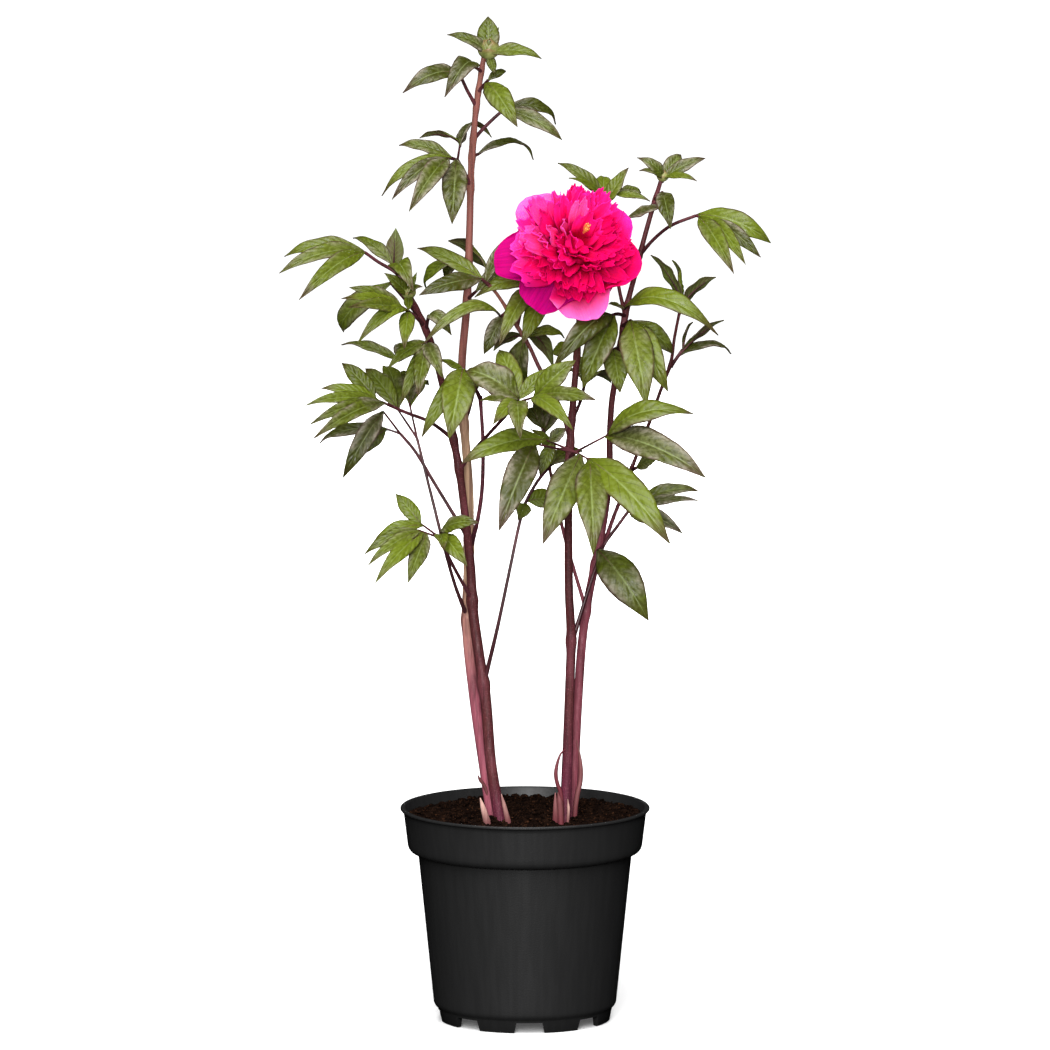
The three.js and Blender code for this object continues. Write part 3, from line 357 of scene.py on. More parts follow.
    [[143, 608, -14], [[178, 578, -34, 9, 60, 0.1], [166, 573, -52, 9, 65, 0.1]]],
    [[132, 609, -12], [[157, 566, -60, 12, 65, 0.1]]],
  ]],
  ["leaf_right_7", "stem_right", [[99, 623, 12], [104, 628, 0]], [
    [[104, 628, 0], [[110, 600, -28, 11, 70, 0.15]]],
  ]],
  ["leaf_right_8", "stem_right", [[60, 617, 24], [59, 626, 24]], [
    [[59, 626, 24], [
      [25, 652, 22, 9, 50, 0.15], [34, 640, 6, 5, 50, 0.1], [60, 643, 50, 10, 60, 0.1],
      [78, 648, 26, 9, 40, 0]]],
    [[72, 629, 30], [[89, 630, 44, 7, 50, 0.1], [91, 626, 30, 6, 50, 0.05], [95, 623, 18, 5, 40, 0.05]]],
  ]],
  ["leaf_right_9", "stem_right", [[65, 597, 24], [72, 605, 10], [78, 609, 2]], [
    [[78, 609, 2], [[104, 617, -10, 8, 40, 0.05]]],
  ]],
  ["leaf_right_10", "stem_right", [[73, 512, 6], [67, 509, -6]], [
    [[67, 509, -6], [[72, 476, -26, 15, 75, 0.15]]],
  ]],
  ["leaf_right_11", "stem_right", [[15, 444, 16], [13, 450, 17]], [
    [[13, 450, 17], [[2, 466, 36, 9, 50, 0.1], [10, 480, 56, 11, -40, 0.1], [24, 466, 40, 10, 40, 0.1]]],
  ]],
  ["leaf_right_12", "stem_right", [[81, 418, 27], [85, 420, 18]], [
    [[85, 420, 18], [[101, 428, 10, 9, 50, 0.05]]],
  ]],
]

# Unopened buds: name, stem, place, radius, then the leafy bracts round them, as leaflet rows
BUDS = [
  ["bud_tall", "stem_tall", [-27.5, 736, -4], 7, [
    [-28, 761, 4, 14, 85, 0.05], [-59, 747, -10, 8, 50, 0.18], [13, 729, -14, 10, 45, 0.15],
    [-23, 717, -14, 5, 60, 0], [-20, 753, 6, 3, 10, 0]]],
  ["bud_left", "stem_left", [-88, 552, -25], 4.6, [
    [-106, 566, -34, 7, 60, 0.1], [-88, 538, -40, 5, 60, 0], [-82, 567, -22, 3, 30, 0],
    [-78, 556, -38, 5, 50, 0.1]]],
  ["bud_right", "stem_right", [104.5, 641, 13], 3.8, [
    [85, 655, 6, 8, 55, 0.25], [87, 645, -2, 5, 50, 0.1], [102, 652, 18, 3, 20, 0],
    [119, 658, 26, 9, 60, 0.15], [137, 655, 16, 8, 50, 0.1], [130, 637, -4, 5, 40, 0.12]]],
]

# Papery sheaths at the foot of the stems: name, foot, tip, width, facing, arch, and how pale it is
SHEATHS = [
  ["sheath_pale", [-26, 141, -33], [-34, 169, -37], 6, 80, 0.03, 1.0],
  ["sheath_left", [-10.5, 141, -32], [-18, 172, -36], 4.5, 60, 0.05, 0.5],
  ["sheath_right", [23.5, 141, -32], [23, 173, -35], 5, 60, 0.08, 0.15],
]

# Dried scales that curve along the stems: points, the radius at the thickest, and how pale each is
SCALES = [
    ([(31, 206, -28), (27.5, 203, -30), (24.5, 195, -31), (23.4, 187, -32), (24.5, 180, -32), (27, 173, -32),
      (28, 160, -32), (28, 144, -32)], 1.6, 0.0),
    ([(39, 213, -15), (41.2, 203, -15), (42.4, 192, -16), (42, 181, -17), (40, 172, -18), (38, 158, -18),
      (38, 146, -18)], 1.9, 0.1),
    ([(-36, 186.5, -18), (-34.5, 183, -16), (-31, 178, -14), (-28, 170, -13)], 1.3, 0.1),
    ([(25, 173, -37), (26.5, 164, -36), (27.5, 144, -35)], 2.2, 0.1),
    ([(32.5, 168, -34), (33, 160, -34), (32, 144, -33)], 1.1, 0.9),
]

# How a leaflet widens from its foot to its tip, as shares of its length and of its width
LEAFLET_LENGTHS = [0, 0.06, 0.14, 0.26, 0.4, 0.54, 0.68, 0.8, 0.9, 0.96, 1]
LEAFLET_WIDTHS = [0.12, 0.3, 0.6, 0.92, 1.04, 1.0, 0.84, 0.57, 0.3, 0.13, 0.02]
SIDE_VEINS = 8
# How far up the blade a side vein runs on its way to the edge, as a share, and how it curves
VEIN_SLANT = 0.24
VEIN_CURVE = 0.8
# The groove along a leaflet's rib, as a share of half its width
GROOVE_WIDTH = 0.12
# The rise of a leaflet's halves from its rib, as a share of half its width
BLADE_FOLD = 0.2
# How far a leaflet's tip hangs, and where the hanging starts, as shares of its length
TIP_HANG = 0.035
TIP_START = 0.72
# How leaflets differ by chance: twist in degrees, waves along an edge, folds as shares of the one
# above, and how far the halves droop to their edges
LEAFLET_TWIST = 14
EDGE_WAVES = (1.6, 2.6)
FOLD_SPREAD = (0.7, 1.7)
EDGE_DROOP = (0.1, 0.32)

# Rows and columns of faces in the sheet that each thin form is laid out from
LEAFLET_GRID = (40, 12)
BRACT_GRID = (24, 8)
SCALE_GRID = (12, 10)
GUARD_GRID = (24, 24)
INNER_GRID = (18, 20)
SEPAL_GRID = (18, 10)
SHEATH_GRID = (26, 10)

# Layers of scales round a bud, from the inside out: count, how far up it they reach, and their size
BUD_LAYERS = [(2, 0.98, 0.9), (3, 0.86, 0.98), (3, 0.62, 1.06)]
BUD_LAYER_TURN = 0.21
BUD_SCALE_OVERLAP = 1.2
BUD_AXIS = (0.05, -0.25, 1.0)
# How far below a bud's middle its bracts spring, and its stalk's length and radius, in bud radii
BRACT_DROP = 0.55
BUD_STALK_LENGTH = 1.5
BUD_STALK_RADIUS = 0.3
# Thickness of bud scales and sheaths, in millimetres
SCALE_THICKNESS = 0.5

# Half the angle that a sheath wraps, and how it narrows, as shares of its length and of its width
SHEATH_CURL = 1.15
SHEATH_LENGTHS = [0, 0.35, 0.75, 0.94, 1]
SHEATH_WIDTHS = [0.8, 1, 0.62, 0.2, 0.03]

# The bloom, with lengths in millimetres
BLOOM_SEAT = [33, 581, -26]
BLOOM_AXIS = Vector((0.06, -0.84, 0.54)).normalized()
CORE_RADIUS = 21
CORE_DEPTH = 13
CORE_SINK = 4
# The solid heart's size, as a share of the petals' core, and its tone
HEART_SHARE = 0.8
HEART_TONE = 0.4
PETAL_ROOT = 7
CALYX_DROP = 7.3
SEPAL_LENGTH = 26
SEPAL_WIDTH = 15
SEPALS = 5
SEPAL_ROOT = 3
SEPAL_ARCH = 0.05
SEPAL_CUP = 0.25
SEPAL_LEAN = math.radians(108)
# How a sepal widens from its foot to its tip, as shares of its length and of its width
SEPAL_LENGTHS = [0, 0.3, 0.55, 0.8, 0.95, 1]
SEPAL_WIDTHS = [0.7, 1, 1, 0.7, 0.3, 0.05]
# The calyx cup, along the bloom's axis from behind: the place and the radius of each ring
CALYX_PLACES = (-3, -2.4, -1, 1, 2.6, 3)
CALYX_RADII = (4, 5.2, 6.6, 8, 8.8, 7)
# Rings of petals from the outside in: count, length, lean from the bloom's axis in degrees, inward
# curl, width as a share of the room in the ring, and how deeply the tip is frayed.
PETAL_RINGS = [
    (7, 56, 93, 0.1, 1.3, 0.02),
    (9, 49, 80, 0.1, 1.25, 0.08),
    (15, 48, 68, 0.14, 1.4, 0.11),
    (15, 50, 57, 0.15, 1.4, 0.13),
    (14, 51, 46, 0.15, 1.4, 0.14),
    (13, 52, 36, 0.14, 1.4, 0.14),
    (10, 50, 27, 0.12, 1.4, 0.14),
    (7, 47, 18, 0.1, 1.4, 0.14),
    (4, 42, 9, 0.05, 1.4, 0.14),
]
GUARD_RINGS = 1
# Where along the petals the room in a ring is measured, and the least lean that counts for it
PETAL_ROOM = 0.75
LEAST_SPREAD = 0.25
# The outermost petals, from the right one round by the top: how faded each is, the degrees that it
# is turned from its even place, and its length as a share
GUARDS = [
    (0.6, 7, 1), (0.6, 0, 1), (0.95, -11, 1.02), (0.12, 0, 1), (0.05, 6, 0.93), (1.0, -3, 1), (0.35, 9, 1),
]
# The turn from the right at which the rings of petals and of sepals start
PETAL_TURN = math.radians(30)
# How the outermost and the inner petals widen from foot to tip, as shares of their width
GUARD_WIDTHS = [0.16, 0.42, 0.68, 0.88, 1, 1, 0.96, 0.86]
INNER_WIDTHS = [0.16, 0.3, 0.48, 0.7, 0.9, 1, 1, 0.9]
# How much the outermost and the inner petals differ by chance: in place, as a share of their
# spacing, in lean, as a share, and in twist, in radians
GUARD_CHANCE = (0.05, 0.03, 0.12)
INNER_CHANCE = (0.35, 0.13, 0.6)
# How far the ends of the outermost and the inner petals bend towards the heart, as shares of their
# length: below 0 they bend away from it
GUARD_BEND = (-0.12, 0.03)
INNER_BEND = (-0.34, -0.06)
# What differs by chance from petal to petal: its change in length and its cup, as shares, then how
# far the waves of pleats, crimps and notches turn from its middle to an edge, in radians
PETAL_LENGTHS = (-0.08, 0.05)
PETAL_CUP = (0.15, 0.45)
PLEATS = (3, 6)
CRIMPS = (9, 14)
NOTCHES = (5, 8)
# A crimp's height as a share of a pleat's, and the outermost petals' ruffle as a share of the inner's
CRIMP_HEIGHT = 0.22
GUARD_RUFFLE = 0.4
# How far a petal's round end falls away at its sides, as a share of its width
END_ROUND = 0.42
# The inner petals stand in this many tufts, and are longer or shorter by this share with them.
TUFTS = 5
TUFT_DEPTH = 0.07
# The heart leans this far from the bloom's axis; on this side of it the petals are palest, a painted
# highlight.
HEART_SIDEWAYS = 0.3
PAINTED_LIGHT_SIDE = math.radians(130)
# How pale an inner petal is: midway, by its side (painted light), by chance either way, and the least and the
# most
FADED_MIDWAY = 0.4
PAINTED_LIGHT_BY_SIDE = 0.28
FADED_BY_CHANCE = 0.2
FADED_LEAST = 0.3
FADED_MOST = 0.8
# Sides where the inner petals are shorter and the outermost ones show: the turn of each from the
# right, by what share they shorten, and how narrow the side is
BARE_SIDES = [(232, 0.24, 1), (122, 0.1, 12), (28, 0.1, 8), (322, 0.17, 5)]
# Stamens: how many, where they spring (ahead along the bloom's axis, to the side and up), their
# lengths, how far they lean apart, and how their thickness goes from foot to tip
STAMENS = 12
STAMEN_SEAT = (14, 6, 7)
STAMEN_LENGTHS = (18, 22)
STAMEN_LEAN = 0.18
STAMEN_TAPER = np.array([1, 1, 1, 1, 1, 1.4, 2.2, 2.2, 1.2])
STAMEN_RADIUS = 0.4

# Stage, in metres
FLOOR_SIZE = 60
LIGHT_AIM = (0, 0, 0.4)

# Camera: its tilt above the horizon, the square picture's side in pixels, then in millimetres what
# a pixel spans at the plant, how high the picture's middle is and the sensor, and its reach in metres
CAMERA_TILT = math.radians(8.6)
PICTURE_PIXELS = 1050
PIXEL_MM = 0.76
VIEW_CENTRE_UP = 376.2
SENSOR = 36
CAMERA_REACH = 100


def seen(row):
    """The place in metres of a point that a table gives as [across, up, away]."""
    across, up, away = row[:3]
    depth = away * PLANT_DEPTH
    height = (up - depth * math.sin(VIEW_TILT)) / math.cos(VIEW_TILT)
    return np.array((across, depth, height)) * MM


def unit(v):
    """Vectors of length one, along the last axis."""
    return v / np.maximum(np.linalg.norm(v, axis=-1, keepdims=True), 1e-12)


def ease(x, low, high):
    """Rises smoothly from 0 at low to 1 at high."""
    t = np.clip((x - low) / (high - low), 0, 1)
    return t * t * (3 - 2 * t)


def smooth_line(points, per_span):
    """A smooth line through points, with the same number of steps in each span."""
    p = np.asarray(points, float)
    p = np.vstack([2 * p[0] - p[1], p, 2 * p[-1] - p[-2]])
    steps = np.arange(per_span)[:, None] / per_span
    line = []
    for a, b, c, d in zip(p, p[1:], p[2:], p[3:]):
        ab, bc, cd = (max(np.linalg.norm(v), 1e-9) ** 0.5 for v in (b - a, c - b, d - c))
        start = ((b - a) / ab - (c - a) / (ab + bc) + (c - b) / bc) * bc
        end = ((c - b) / bc - (d - b) / (bc + cd) + (d - c) / cd) * bc
        cubic = 2 * b - 2 * c + start + end
        square = 3 * c - 3 * b - 2 * start - end
        line.append(b + steps * start + steps**2 * square + steps**3 * cubic)
    return np.vstack([*line, p[-2]])


# Making and joining pieces


def settle(piece, slot, *nodes):
    """Hangs a finished piece on the body and hides the solids that it stands for. Its slot is not used."""
    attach(piece, BODY)
    if nodes:
        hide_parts(*nodes)


def deselect():
    """Deselects everything."""
    bpy.ops.object.select_all(action="DESELECT")


def pick(piece):
    """Selects one piece alone and makes it active."""
    deselect()
    piece.select_set(True)
    bpy.context.view_layer.objects.active = piece


def added(name):
    """The piece that an operator has just added, with a plain name."""
    piece = bpy.context.object
    piece.name = name
    piece.data.name = name
    return piece


def put(name, data):
    """A new object in the scene."""
    piece = bpy.data.objects.new(name, data)
    bpy.context.scene.collection.objects.link(piece)
    return piece


def joined(name, pieces):
    """Joins pieces into the first of them."""
    pick(pieces[0])
    for piece in pieces:
        piece.select_set(True)
    bpy.ops.object.join()
    return added(name)


def finish_with(piece, kind, **settings):
    """Gives a piece a modifier and applies it."""
    pick(piece)
    modifier = piece.modifiers.new(kind.lower(), kind)
    for key, value in settings.items():
        setattr(modifier, key, value)
    bpy.ops.object.modifier_apply(modifier=modifier.name)


def thicken(piece, thickness, **settings):
    """Gives a sheet its thickness, half of it to each side."""
    finish_with(piece, "SOLIDIFY", thickness=thickness, offset=0, **settings)


def paint(piece, label, value):
    """Stores one number on every point of a piece."""
    layer = piece.data.attributes.get(label) or piece.data.attributes.new(label, "FLOAT", "POINT")
    layer.data.foreach_set("value", np.full(len(piece.data.vertices), value, np.float32))


def wear(piece, *materials):
    """Gives a piece its materials, in order."""
    piece.data.materials.clear()
    for material in materials:
        piece.data.materials.append(material)


def blank_sheet(rows, columns):
    """A flat grid of faces with its own map, from which blades, petals and scales are laid out."""
    deselect()
    bpy.ops.mesh.primitive_grid_add(x_subdivisions=columns, y_subdivisions=rows, size=1)
    sheet = added("sheet")
    bpy.ops.object.shade_smooth()
    return sheet


def shares(rows, columns):
    """Shares along a sheet, from 0 at its foot to 1 at its tip, and across it, from -1 to 1."""
    return np.linspace(0, 1, rows + 1)[:, None], np.linspace(-1, 1, columns + 1)[None, :]


def spread_out(line, across, above, sideways, height):
    """A surface to both sides of a line, by how far each of its points is sideways and up from it."""
    return line[:, None] + across[:, None] * sideways[..., None] + above[:, None] * height[..., None]


def laid(sheet, surface, tone=0.5):
    """A copy of a flat sheet, laid on a surface given as rows of points."""
    rows, columns = surface.shape[:2]
    mesh = sheet.data.copy()
    flat = np.zeros(len(mesh.vertices) * 3)
    mesh.vertices.foreach_get("co", flat)
    flat = flat.reshape(-1, 3) + 0.5
    across = np.rint(flat[:, 0] * (columns - 1)).astype(int)
    up = np.rint(flat[:, 1] * (rows - 1)).astype(int)
    mesh.vertices.foreach_set("co", surface[up, across].ravel())
    piece = put("laid", mesh)
    paint(piece, "tone", tone)
    return piece


def rounds(name, lines, sides=8):
    """Round stalks as one piece. Each is a line of points, in metres, and its radii in millimetres."""
    curve = bpy.data.curves.new(name, "CURVE")
    curve.dimensions = "3D"
    curve.bevel_depth = MM
    curve.bevel_resolution = (sides - 4) // 2
    curve.use_fill_caps = True
    for line, radii in lines:
        path = curve.splines.new("POLY")
        path.points.add(len(line) - 1)
        path.points.foreach_set("co", np.c_[line, np.ones(len(line))].ravel())
        path.points.foreach_set("radius", np.broadcast_to(radii, len(line)).astype(np.float32))
    piece = put(name, curve)
    pick(piece)
    bpy.ops.object.convert(target="MESH")
    bpy.ops.object.shade_smooth_by_angle(angle=STALK_CREASE)
    return added(name)


def spun(name, profile, steps):
    """A body spun about the upright axis from a profile of (radius, height), in millimetres."""
    mesh = bpy.data.meshes.new(name)
    points = [(0, -radius * MM, height * MM) for radius, height in profile]
    mesh.from_pydata(points, [(i, i + 1) for i in range(len(points) - 1)], [])
    pick(put(name, mesh))
    bpy.ops.object.mode_set(mode="EDIT")
    bpy.ops.mesh.select_all(action="SELECT")
    bpy.ops.mesh.spin(steps=steps, angle=2 * math.pi, center=(0, 0, 0), axis=(0, 0, 1))
    bpy.ops.mesh.select_all(action="SELECT")
    bpy.ops.mesh.remove_doubles(threshold=MERGE_WITHIN * MM)
    bpy.ops.mesh.normals_make_consistent(inside=False)
    bpy.ops.object.mode_set(mode="OBJECT")
    return bpy.context.object


def discard(*pieces):
    """Removes pieces that were only tools."""
    for piece in pieces:
        bpy.data.objects.remove(piece)


# Shader nodes


def add_node(tree, kind, inputs=None, **settings):
    """A shader node with its settings, and its inputs set to values or joined to sockets."""
    made = tree.nodes.new(kind)
    for key, value in settings.items():
        setattr(made, key, value)
    for key, value in (inputs or {}).items():
        feed(tree, made.inputs[key], value)
    return made


def feed(tree, socket, value):
    """Sets a socket to a value, or joins another socket to it."""
    if isinstance(value, bpy.types.NodeSocket):
        tree.links.new(value, socket)
    elif socket.type == "RGBA":
        socket.default_value = (*value[:3], 1)
    else:
        socket.default_value = value


def maths(tree, operation, *values, clamp=False):
    """One step of arithmetic on values or sockets."""
    inputs = dict(enumerate(values))
    return add_node(tree, "ShaderNodeMath", inputs, operation=operation, use_clamp=clamp).outputs[0]


def scaled(tree, value, factor, plus, clamp=False):
    """A value times a factor, plus another value."""
    return maths(tree, "MULTIPLY_ADD", value, factor, plus, clamp=clamp)


def times(tree, *values):
    """Values or sockets multiplied together."""
    product = values[0]
    for value in values[1:]:
        product = maths(tree, "MULTIPLY", product, value)
    return product


def parts_of(tree, vector):
    """The X, Y and Z of a vector."""
    return add_node(tree, "ShaderNodeSeparateXYZ", {"Vector": vector}).outputs


def off_middle(tree, across):
    """How far a place on a map is from its middle line: 0 on it and 1 at either edge."""
    return maths(tree, "ABSOLUTE", scaled(tree, across, 2.0, -1.0))


def band(tree, value, low, high, start=0.0, end=1.0):
    """Goes smoothly from start at low to end at high."""
    inputs = {"Value": value, "From Min": low, "From Max": high, "To Min": start, "To Max": end}
    made = add_node(tree, "ShaderNodeMapRange", inputs, interpolation_type="SMOOTHSTEP")
    return made.outputs["Result"]


def blend(tree, factor, first, second):
    """Mixes two colours."""
    made = add_node(tree, "ShaderNodeMix", data_type="RGBA", clamp_factor=True)
    for socket, value in zip((made.inputs[0], made.inputs[6], made.inputs[7]), (factor, first, second)):
        feed(tree, socket, value)
    return made.outputs[2]


def attribute(tree, name):
    """A number that is stored on a piece's points."""
    return add_node(tree, "ShaderNodeAttribute", attribute_name=name).outputs["Fac"]


def new_group(name, inputs, outputs):
    """An empty shader node group with named inputs and outputs, and the node for its inputs."""
    tree = bpy.data.node_groups.new(name, "ShaderNodeTree")
    for label, kind in inputs:
        tree.interface.new_socket(label, in_out="INPUT", socket_type=kind)
    for label, kind in outputs:
        tree.interface.new_socket(label, in_out="OUTPUT", socket_type=kind)
    return tree, tree.nodes.new("NodeGroupInput").outputs


def placed(tree, group, inputs):
    """A copy of a node group in a material, with its own values."""
    made = tree.nodes.new("ShaderNodeGroup")
    made.node_tree = group
    for key, value in inputs.items():
        feed(tree, made.inputs[key], value)
    return made.outputs


def patches_group():
    """A mask of soft patches over the surface: noise cut between two levels."""
    found = bpy.data.node_groups.get("patches")
    if found:
        return found
    number = "NodeSocketFloat"
    inputs = [(label, number) for label in ("Scale", "Detail", "Low", "High")]
    tree, source = new_group("patches", [("Vector", "NodeSocketVector"), *inputs], [("Mask", number)])
    cloud = add_node(tree, "ShaderNodeTexNoise", {
        "Vector": source["Vector"], "Scale": source["Scale"], "Detail": source["Detail"]})
    mask = band(tree, cloud.outputs["Fac"], source["Low"], source["High"])
    add_node(tree, "NodeGroupOutput", {"Mask": mask})
    return tree


def patches(tree, vector, scale, low, high, detail=3.0):
    """Soft patches in a material: bare below the low level of the noise and full above the high one."""
    inputs = {"Vector": vector, "Scale": scale, "Detail": detail, "Low": low, "High": high}
    return placed(tree, patches_group(), inputs)["Mask"]


def drawn_out(tree, vector, shares_of_axes, scale, low, high):
    """Soft patches drawn out into streaks: the smaller an axis's share, the longer along it."""
    mapped = add_node(tree, "ShaderNodeMapping", {"Vector": vector, "Scale": shares_of_axes})
    return patches(tree, mapped.outputs["Vector"], scale, low, high)


def veins_group():
    """A leaflet's ribs and what lies between them, from its map: masks that both faces share."""
    found = bpy.data.node_groups.get("veins")
    if found:
        return found
    number = "NodeSocketFloat"
    outputs = [("Midrib", number), ("Veins", number), ("Puff", number), ("Out", number), ("Along", number)]
    tree, source = new_group("veins", [("Map", "NodeSocketVector")], outputs)
    uv = parts_of(tree, source["Map"])
    out = off_middle(tree, uv["X"])
    slant = scaled(tree, maths(tree, "POWER", out, VEIN_CURVE), -VEIN_SLANT, uv["Y"])
    wave = maths(tree, "PINGPONG", maths(tree, "MULTIPLY", slant, float(SIDE_VEINS)), 0.5)
    fade = band(tree, out, 0.55, 0.95, 1.0, 0.0)
    add_node(tree, "NodeGroupOutput", {
        "Midrib": band(tree, out, 0.02, 0.08, 1.0, 0.0),
        "Veins": times(tree, band(tree, wave, 0.0, 0.1, 1.0, 0.0), fade),
        "Puff": band(tree, wave, 0.0, 0.5), "Out": out, "Along": uv["Y"]})
    return tree


def new_material(name, roughness=0.5, specular=0.5):
    """A node material with a bare Principled shader, its tree and its place coordinates."""
    material = bpy.data.materials.new(name)
    material.use_nodes = True
    tree = material.node_tree
    shader = tree.nodes["Principled BSDF"]
    shader.inputs["Roughness"].default_value = roughness
    shader.inputs["Specular IOR Level"].default_value = specular
    place = tree.nodes.new("ShaderNodeTexCoord").outputs
    return material, tree, shader.inputs, place


def bump(tree, shader, height, strength, distance):
    """Small relief, with its depth in metres."""
    made = add_node(tree, "ShaderNodeBump", {"Height": height, "Strength": strength, "Distance": distance})
    feed(tree, shader["Normal"], made.outputs["Normal"])


def leaf_upper(look):
    """Upper faces: fresh green, mauve and silver towards the margins, the silver partly painted sheen, pale
    ribs and bronze tips.
    """
    material, tree, shader, place = new_material("leaf_upper", 0.4, 0.35)
    rib = placed(tree, veins_group(), {"Map": place["UV"]})
    tone = attribute(tree, "tone")
    broad = patches(tree, place["Object"], 36.0, 0.42, 0.56, 8.0)
    fine = patches(tree, place["Object"], 300.0, 0.38, 0.64, 6.0)
    lit = scaled(tree, tone, 1.2, -0.35)
    bright = scaled(tree, fine, 0.4, lit, clamp=True)
    colour = blend(tree, bright, look.deep_green, look.fresh_green)
    margin = band(tree, rib["Out"], 0.25, 0.9)
    dull = band(tree, tone, 0.3, 1.0, 1.0, 0.2)
    mottle = scaled(tree, fine, 0.6, 0.35)
    reach = scaled(tree, margin, 0.85, 0.15)
    # The silvery mauve patches towards the margins are partly the leaves' own colour and partly painted
    # sheen.
    colour = blend(tree, times(tree, reach, broad, dull, mottle), colour, look.silver)
    tip = band(tree, rib["Along"], 0.72, 1.0)
    edge = maths(tree, "MAXIMUM", times(tree, band(tree, rib["Out"], 0.8, 0.98), 0.9), tip)
    bronze = times(tree, edge, scaled(tree, broad, 0.5, 0.35))
    colour = blend(tree, bronze, colour, look.bronze)
    colour = blend(tree, times(tree, rib["Veins"], 0.55), colour, look.deep_green)
    feed(tree, shader["Base Color"], blend(tree, times(tree, rib["Midrib"], 0.35), colour, look.vein))
    feed(tree, shader["Roughness"], scaled(tree, fine, 0.2, 0.32))
    height = scaled(tree, fine, 0.4, maths(tree, "MULTIPLY", rib["Puff"], 0.6))
    bump(tree, shader, height, 0.65, 0.0007)
    return material


def leaf_under(look):
    """Undersides: dull olive to purple brown, with a raised pale midrib."""
    material, tree, shader, place = new_material("leaf_under", 0.55, 0.3)
    rib = placed(tree, veins_group(), {"Map": place["UV"]})
    broad = patches(tree, place["Object"], 50.0, 0.35, 0.65)
    colour = blend(tree, times(tree, broad, 0.8), look.under_green, look.under)
    lines = maths(tree, "MAXIMUM", times(tree, rib["Midrib"], 0.5), times(tree, rib["Veins"], 0.3))
    feed(tree, shader["Base Color"], blend(tree, lines, colour, look.vein))
    bump(tree, shader, rib["Veins"], 0.4, 0.0005)
    return material


def leaf_stalk(look):
    """The dark purple leaf stalks, paler in places."""
    material, tree, shader, place = new_material("leaf_stalk", 0.4, 0.4)
    mask = drawn_out(tree, place["Object"], (1, 1, 0.25), 60.0, 0.42, 0.7)
    feed(tree, shader["Base Color"], blend(tree, mask, look.stalk, look.stalk_pale))
    return material


def stem_skin(name, look, low, middle, high, turn_low, turn_high):
    """A stem that changes colour up its height, with ridges and streaks along it and pale dots."""
    material, tree, shader, place = new_material(name, 0.4, 0.16)
    height = parts_of(tree, place["Object"])["Z"]
    colour = blend(tree, band(tree, height, *turn_low), low, middle)
    colour = blend(tree, band(tree, height, *turn_high), colour, high)
    colour = blend(tree, attribute(tree, "tone"), colour, look.branch)
    ridges = drawn_out(tree, place["Object"], (1, 1, 0.02), 620.0, 0.32, 0.68)
    streaks = drawn_out(tree, place["Object"], (1, 1, 0.04), 260.0, 0.45, 0.7)
    blots = drawn_out(tree, place["Object"], (1, 1, 0.35), 80.0, 0.5, 0.72)
    colour = blend(tree, times(tree, blots, 0.25), colour, look.pink)
    colour = blend(tree, times(tree, streaks, 0.55), colour, look.streak)
    colour = blend(tree, times(tree, ridges, 0.35), colour, look.streak)
    dots = patches(tree, place["Object"], 1300.0, 0.6, 0.68, 1.0)
    feed(tree, shader["Base Color"], blend(tree, times(tree, dots, 0.35), colour, look.pink))
    feed(tree, shader["Roughness"], scaled(tree, ridges, 0.15, 0.34))
    bump(tree, shader, ridges, 0.5, 0.0005)
    return material


def petal_skin(look):
    """Petals red at the foot, partly painted shade where they crowd, hot pink in the middle, and pale at
    their notched ends, partly painted highlight on the lit side.
    """
    material, tree, shader, place = new_material("petal", 0.7, 0.04)
    uv = parts_of(tree, place["UV"])
    out = off_middle(tree, uv["X"])
    tone = attribute(tree, "tone")
    lines = drawn_out(tree, place["UV"], (14, 0.9, 1), 2.4, 0.35, 0.7)
    # The deep red foot is partly the petals' own colour and partly painted shade where they crowd; it reaches
    # higher on petals of the dim side.
    reach = scaled(tree, tone, 0.5, uv["Y"])
    colour = blend(tree, band(tree, reach, 0.65, 1.15), look.deep, look.hot)
    colour = blend(tree, band(tree, tone, 0.3, 0.1), colour, look.magenta)
    # Pale rims and ends are partly the petals' own paler edges and partly painted highlight, strongest on
    # petals of the lit side.
    rim = maths(tree, "MAXIMUM", band(tree, uv["Y"], 0.7, 1.05), band(tree, out, 0.75, 1.1, 0.0, 0.4))
    pale = times(tree, rim, band(tree, tone, 0.25, 0.75))
    veined = band(tree, tone, 0.1, 0.36, 0.8, 0.0)
    colour = blend(tree, times(tree, lines, veined), colour, look.purple)
    # Pale streaks grow with the tone, so they are partly painted highlight on the lit side.
    colour = blend(tree, times(tree, lines, tone, 0.15), colour, look.pale)
    colour = blend(tree, pale, colour, look.pale)
    # Lilac ends are the faded outer petals' own colour, and on inner petals of the lit side a painted
    # highlight.
    fade_and_highlight = times(tree, band(tree, tone, 0.58, 1.0), band(tree, uv["Y"], 0.5, 0.98, 0.0, 0.85))
    feed(tree, shader["Base Color"], blend(tree, fade_and_highlight, colour, look.lilac))
    shader["Subsurface Weight"].default_value = 0.2
    shader["Subsurface Scale"].default_value = 1.0
    shader["Subsurface Radius"].default_value = (0.003, 0.0002, 0.001)
    bump(tree, shader, lines, 0.35, 0.0004)
    return material


def bud_skin(look):
    """Bud scales, yellow-green with reddish rims."""
    material, tree, shader, place = new_material("bud_scale", 0.4, 0.45)
    mask = patches(tree, place["Object"], 140.0, 0.4, 0.65)
    uv = parts_of(tree, place["UV"])
    rim = band(tree, uv["Y"], 0.7, 1.0, 0.0, 0.55)
    colour = blend(tree, mask, look.scale, look.scale_dark)
    feed(tree, shader["Base Color"], blend(tree, rim, colour, look.flush))
    bump(tree, shader, mask, 0.2, 0.0004)
    return material


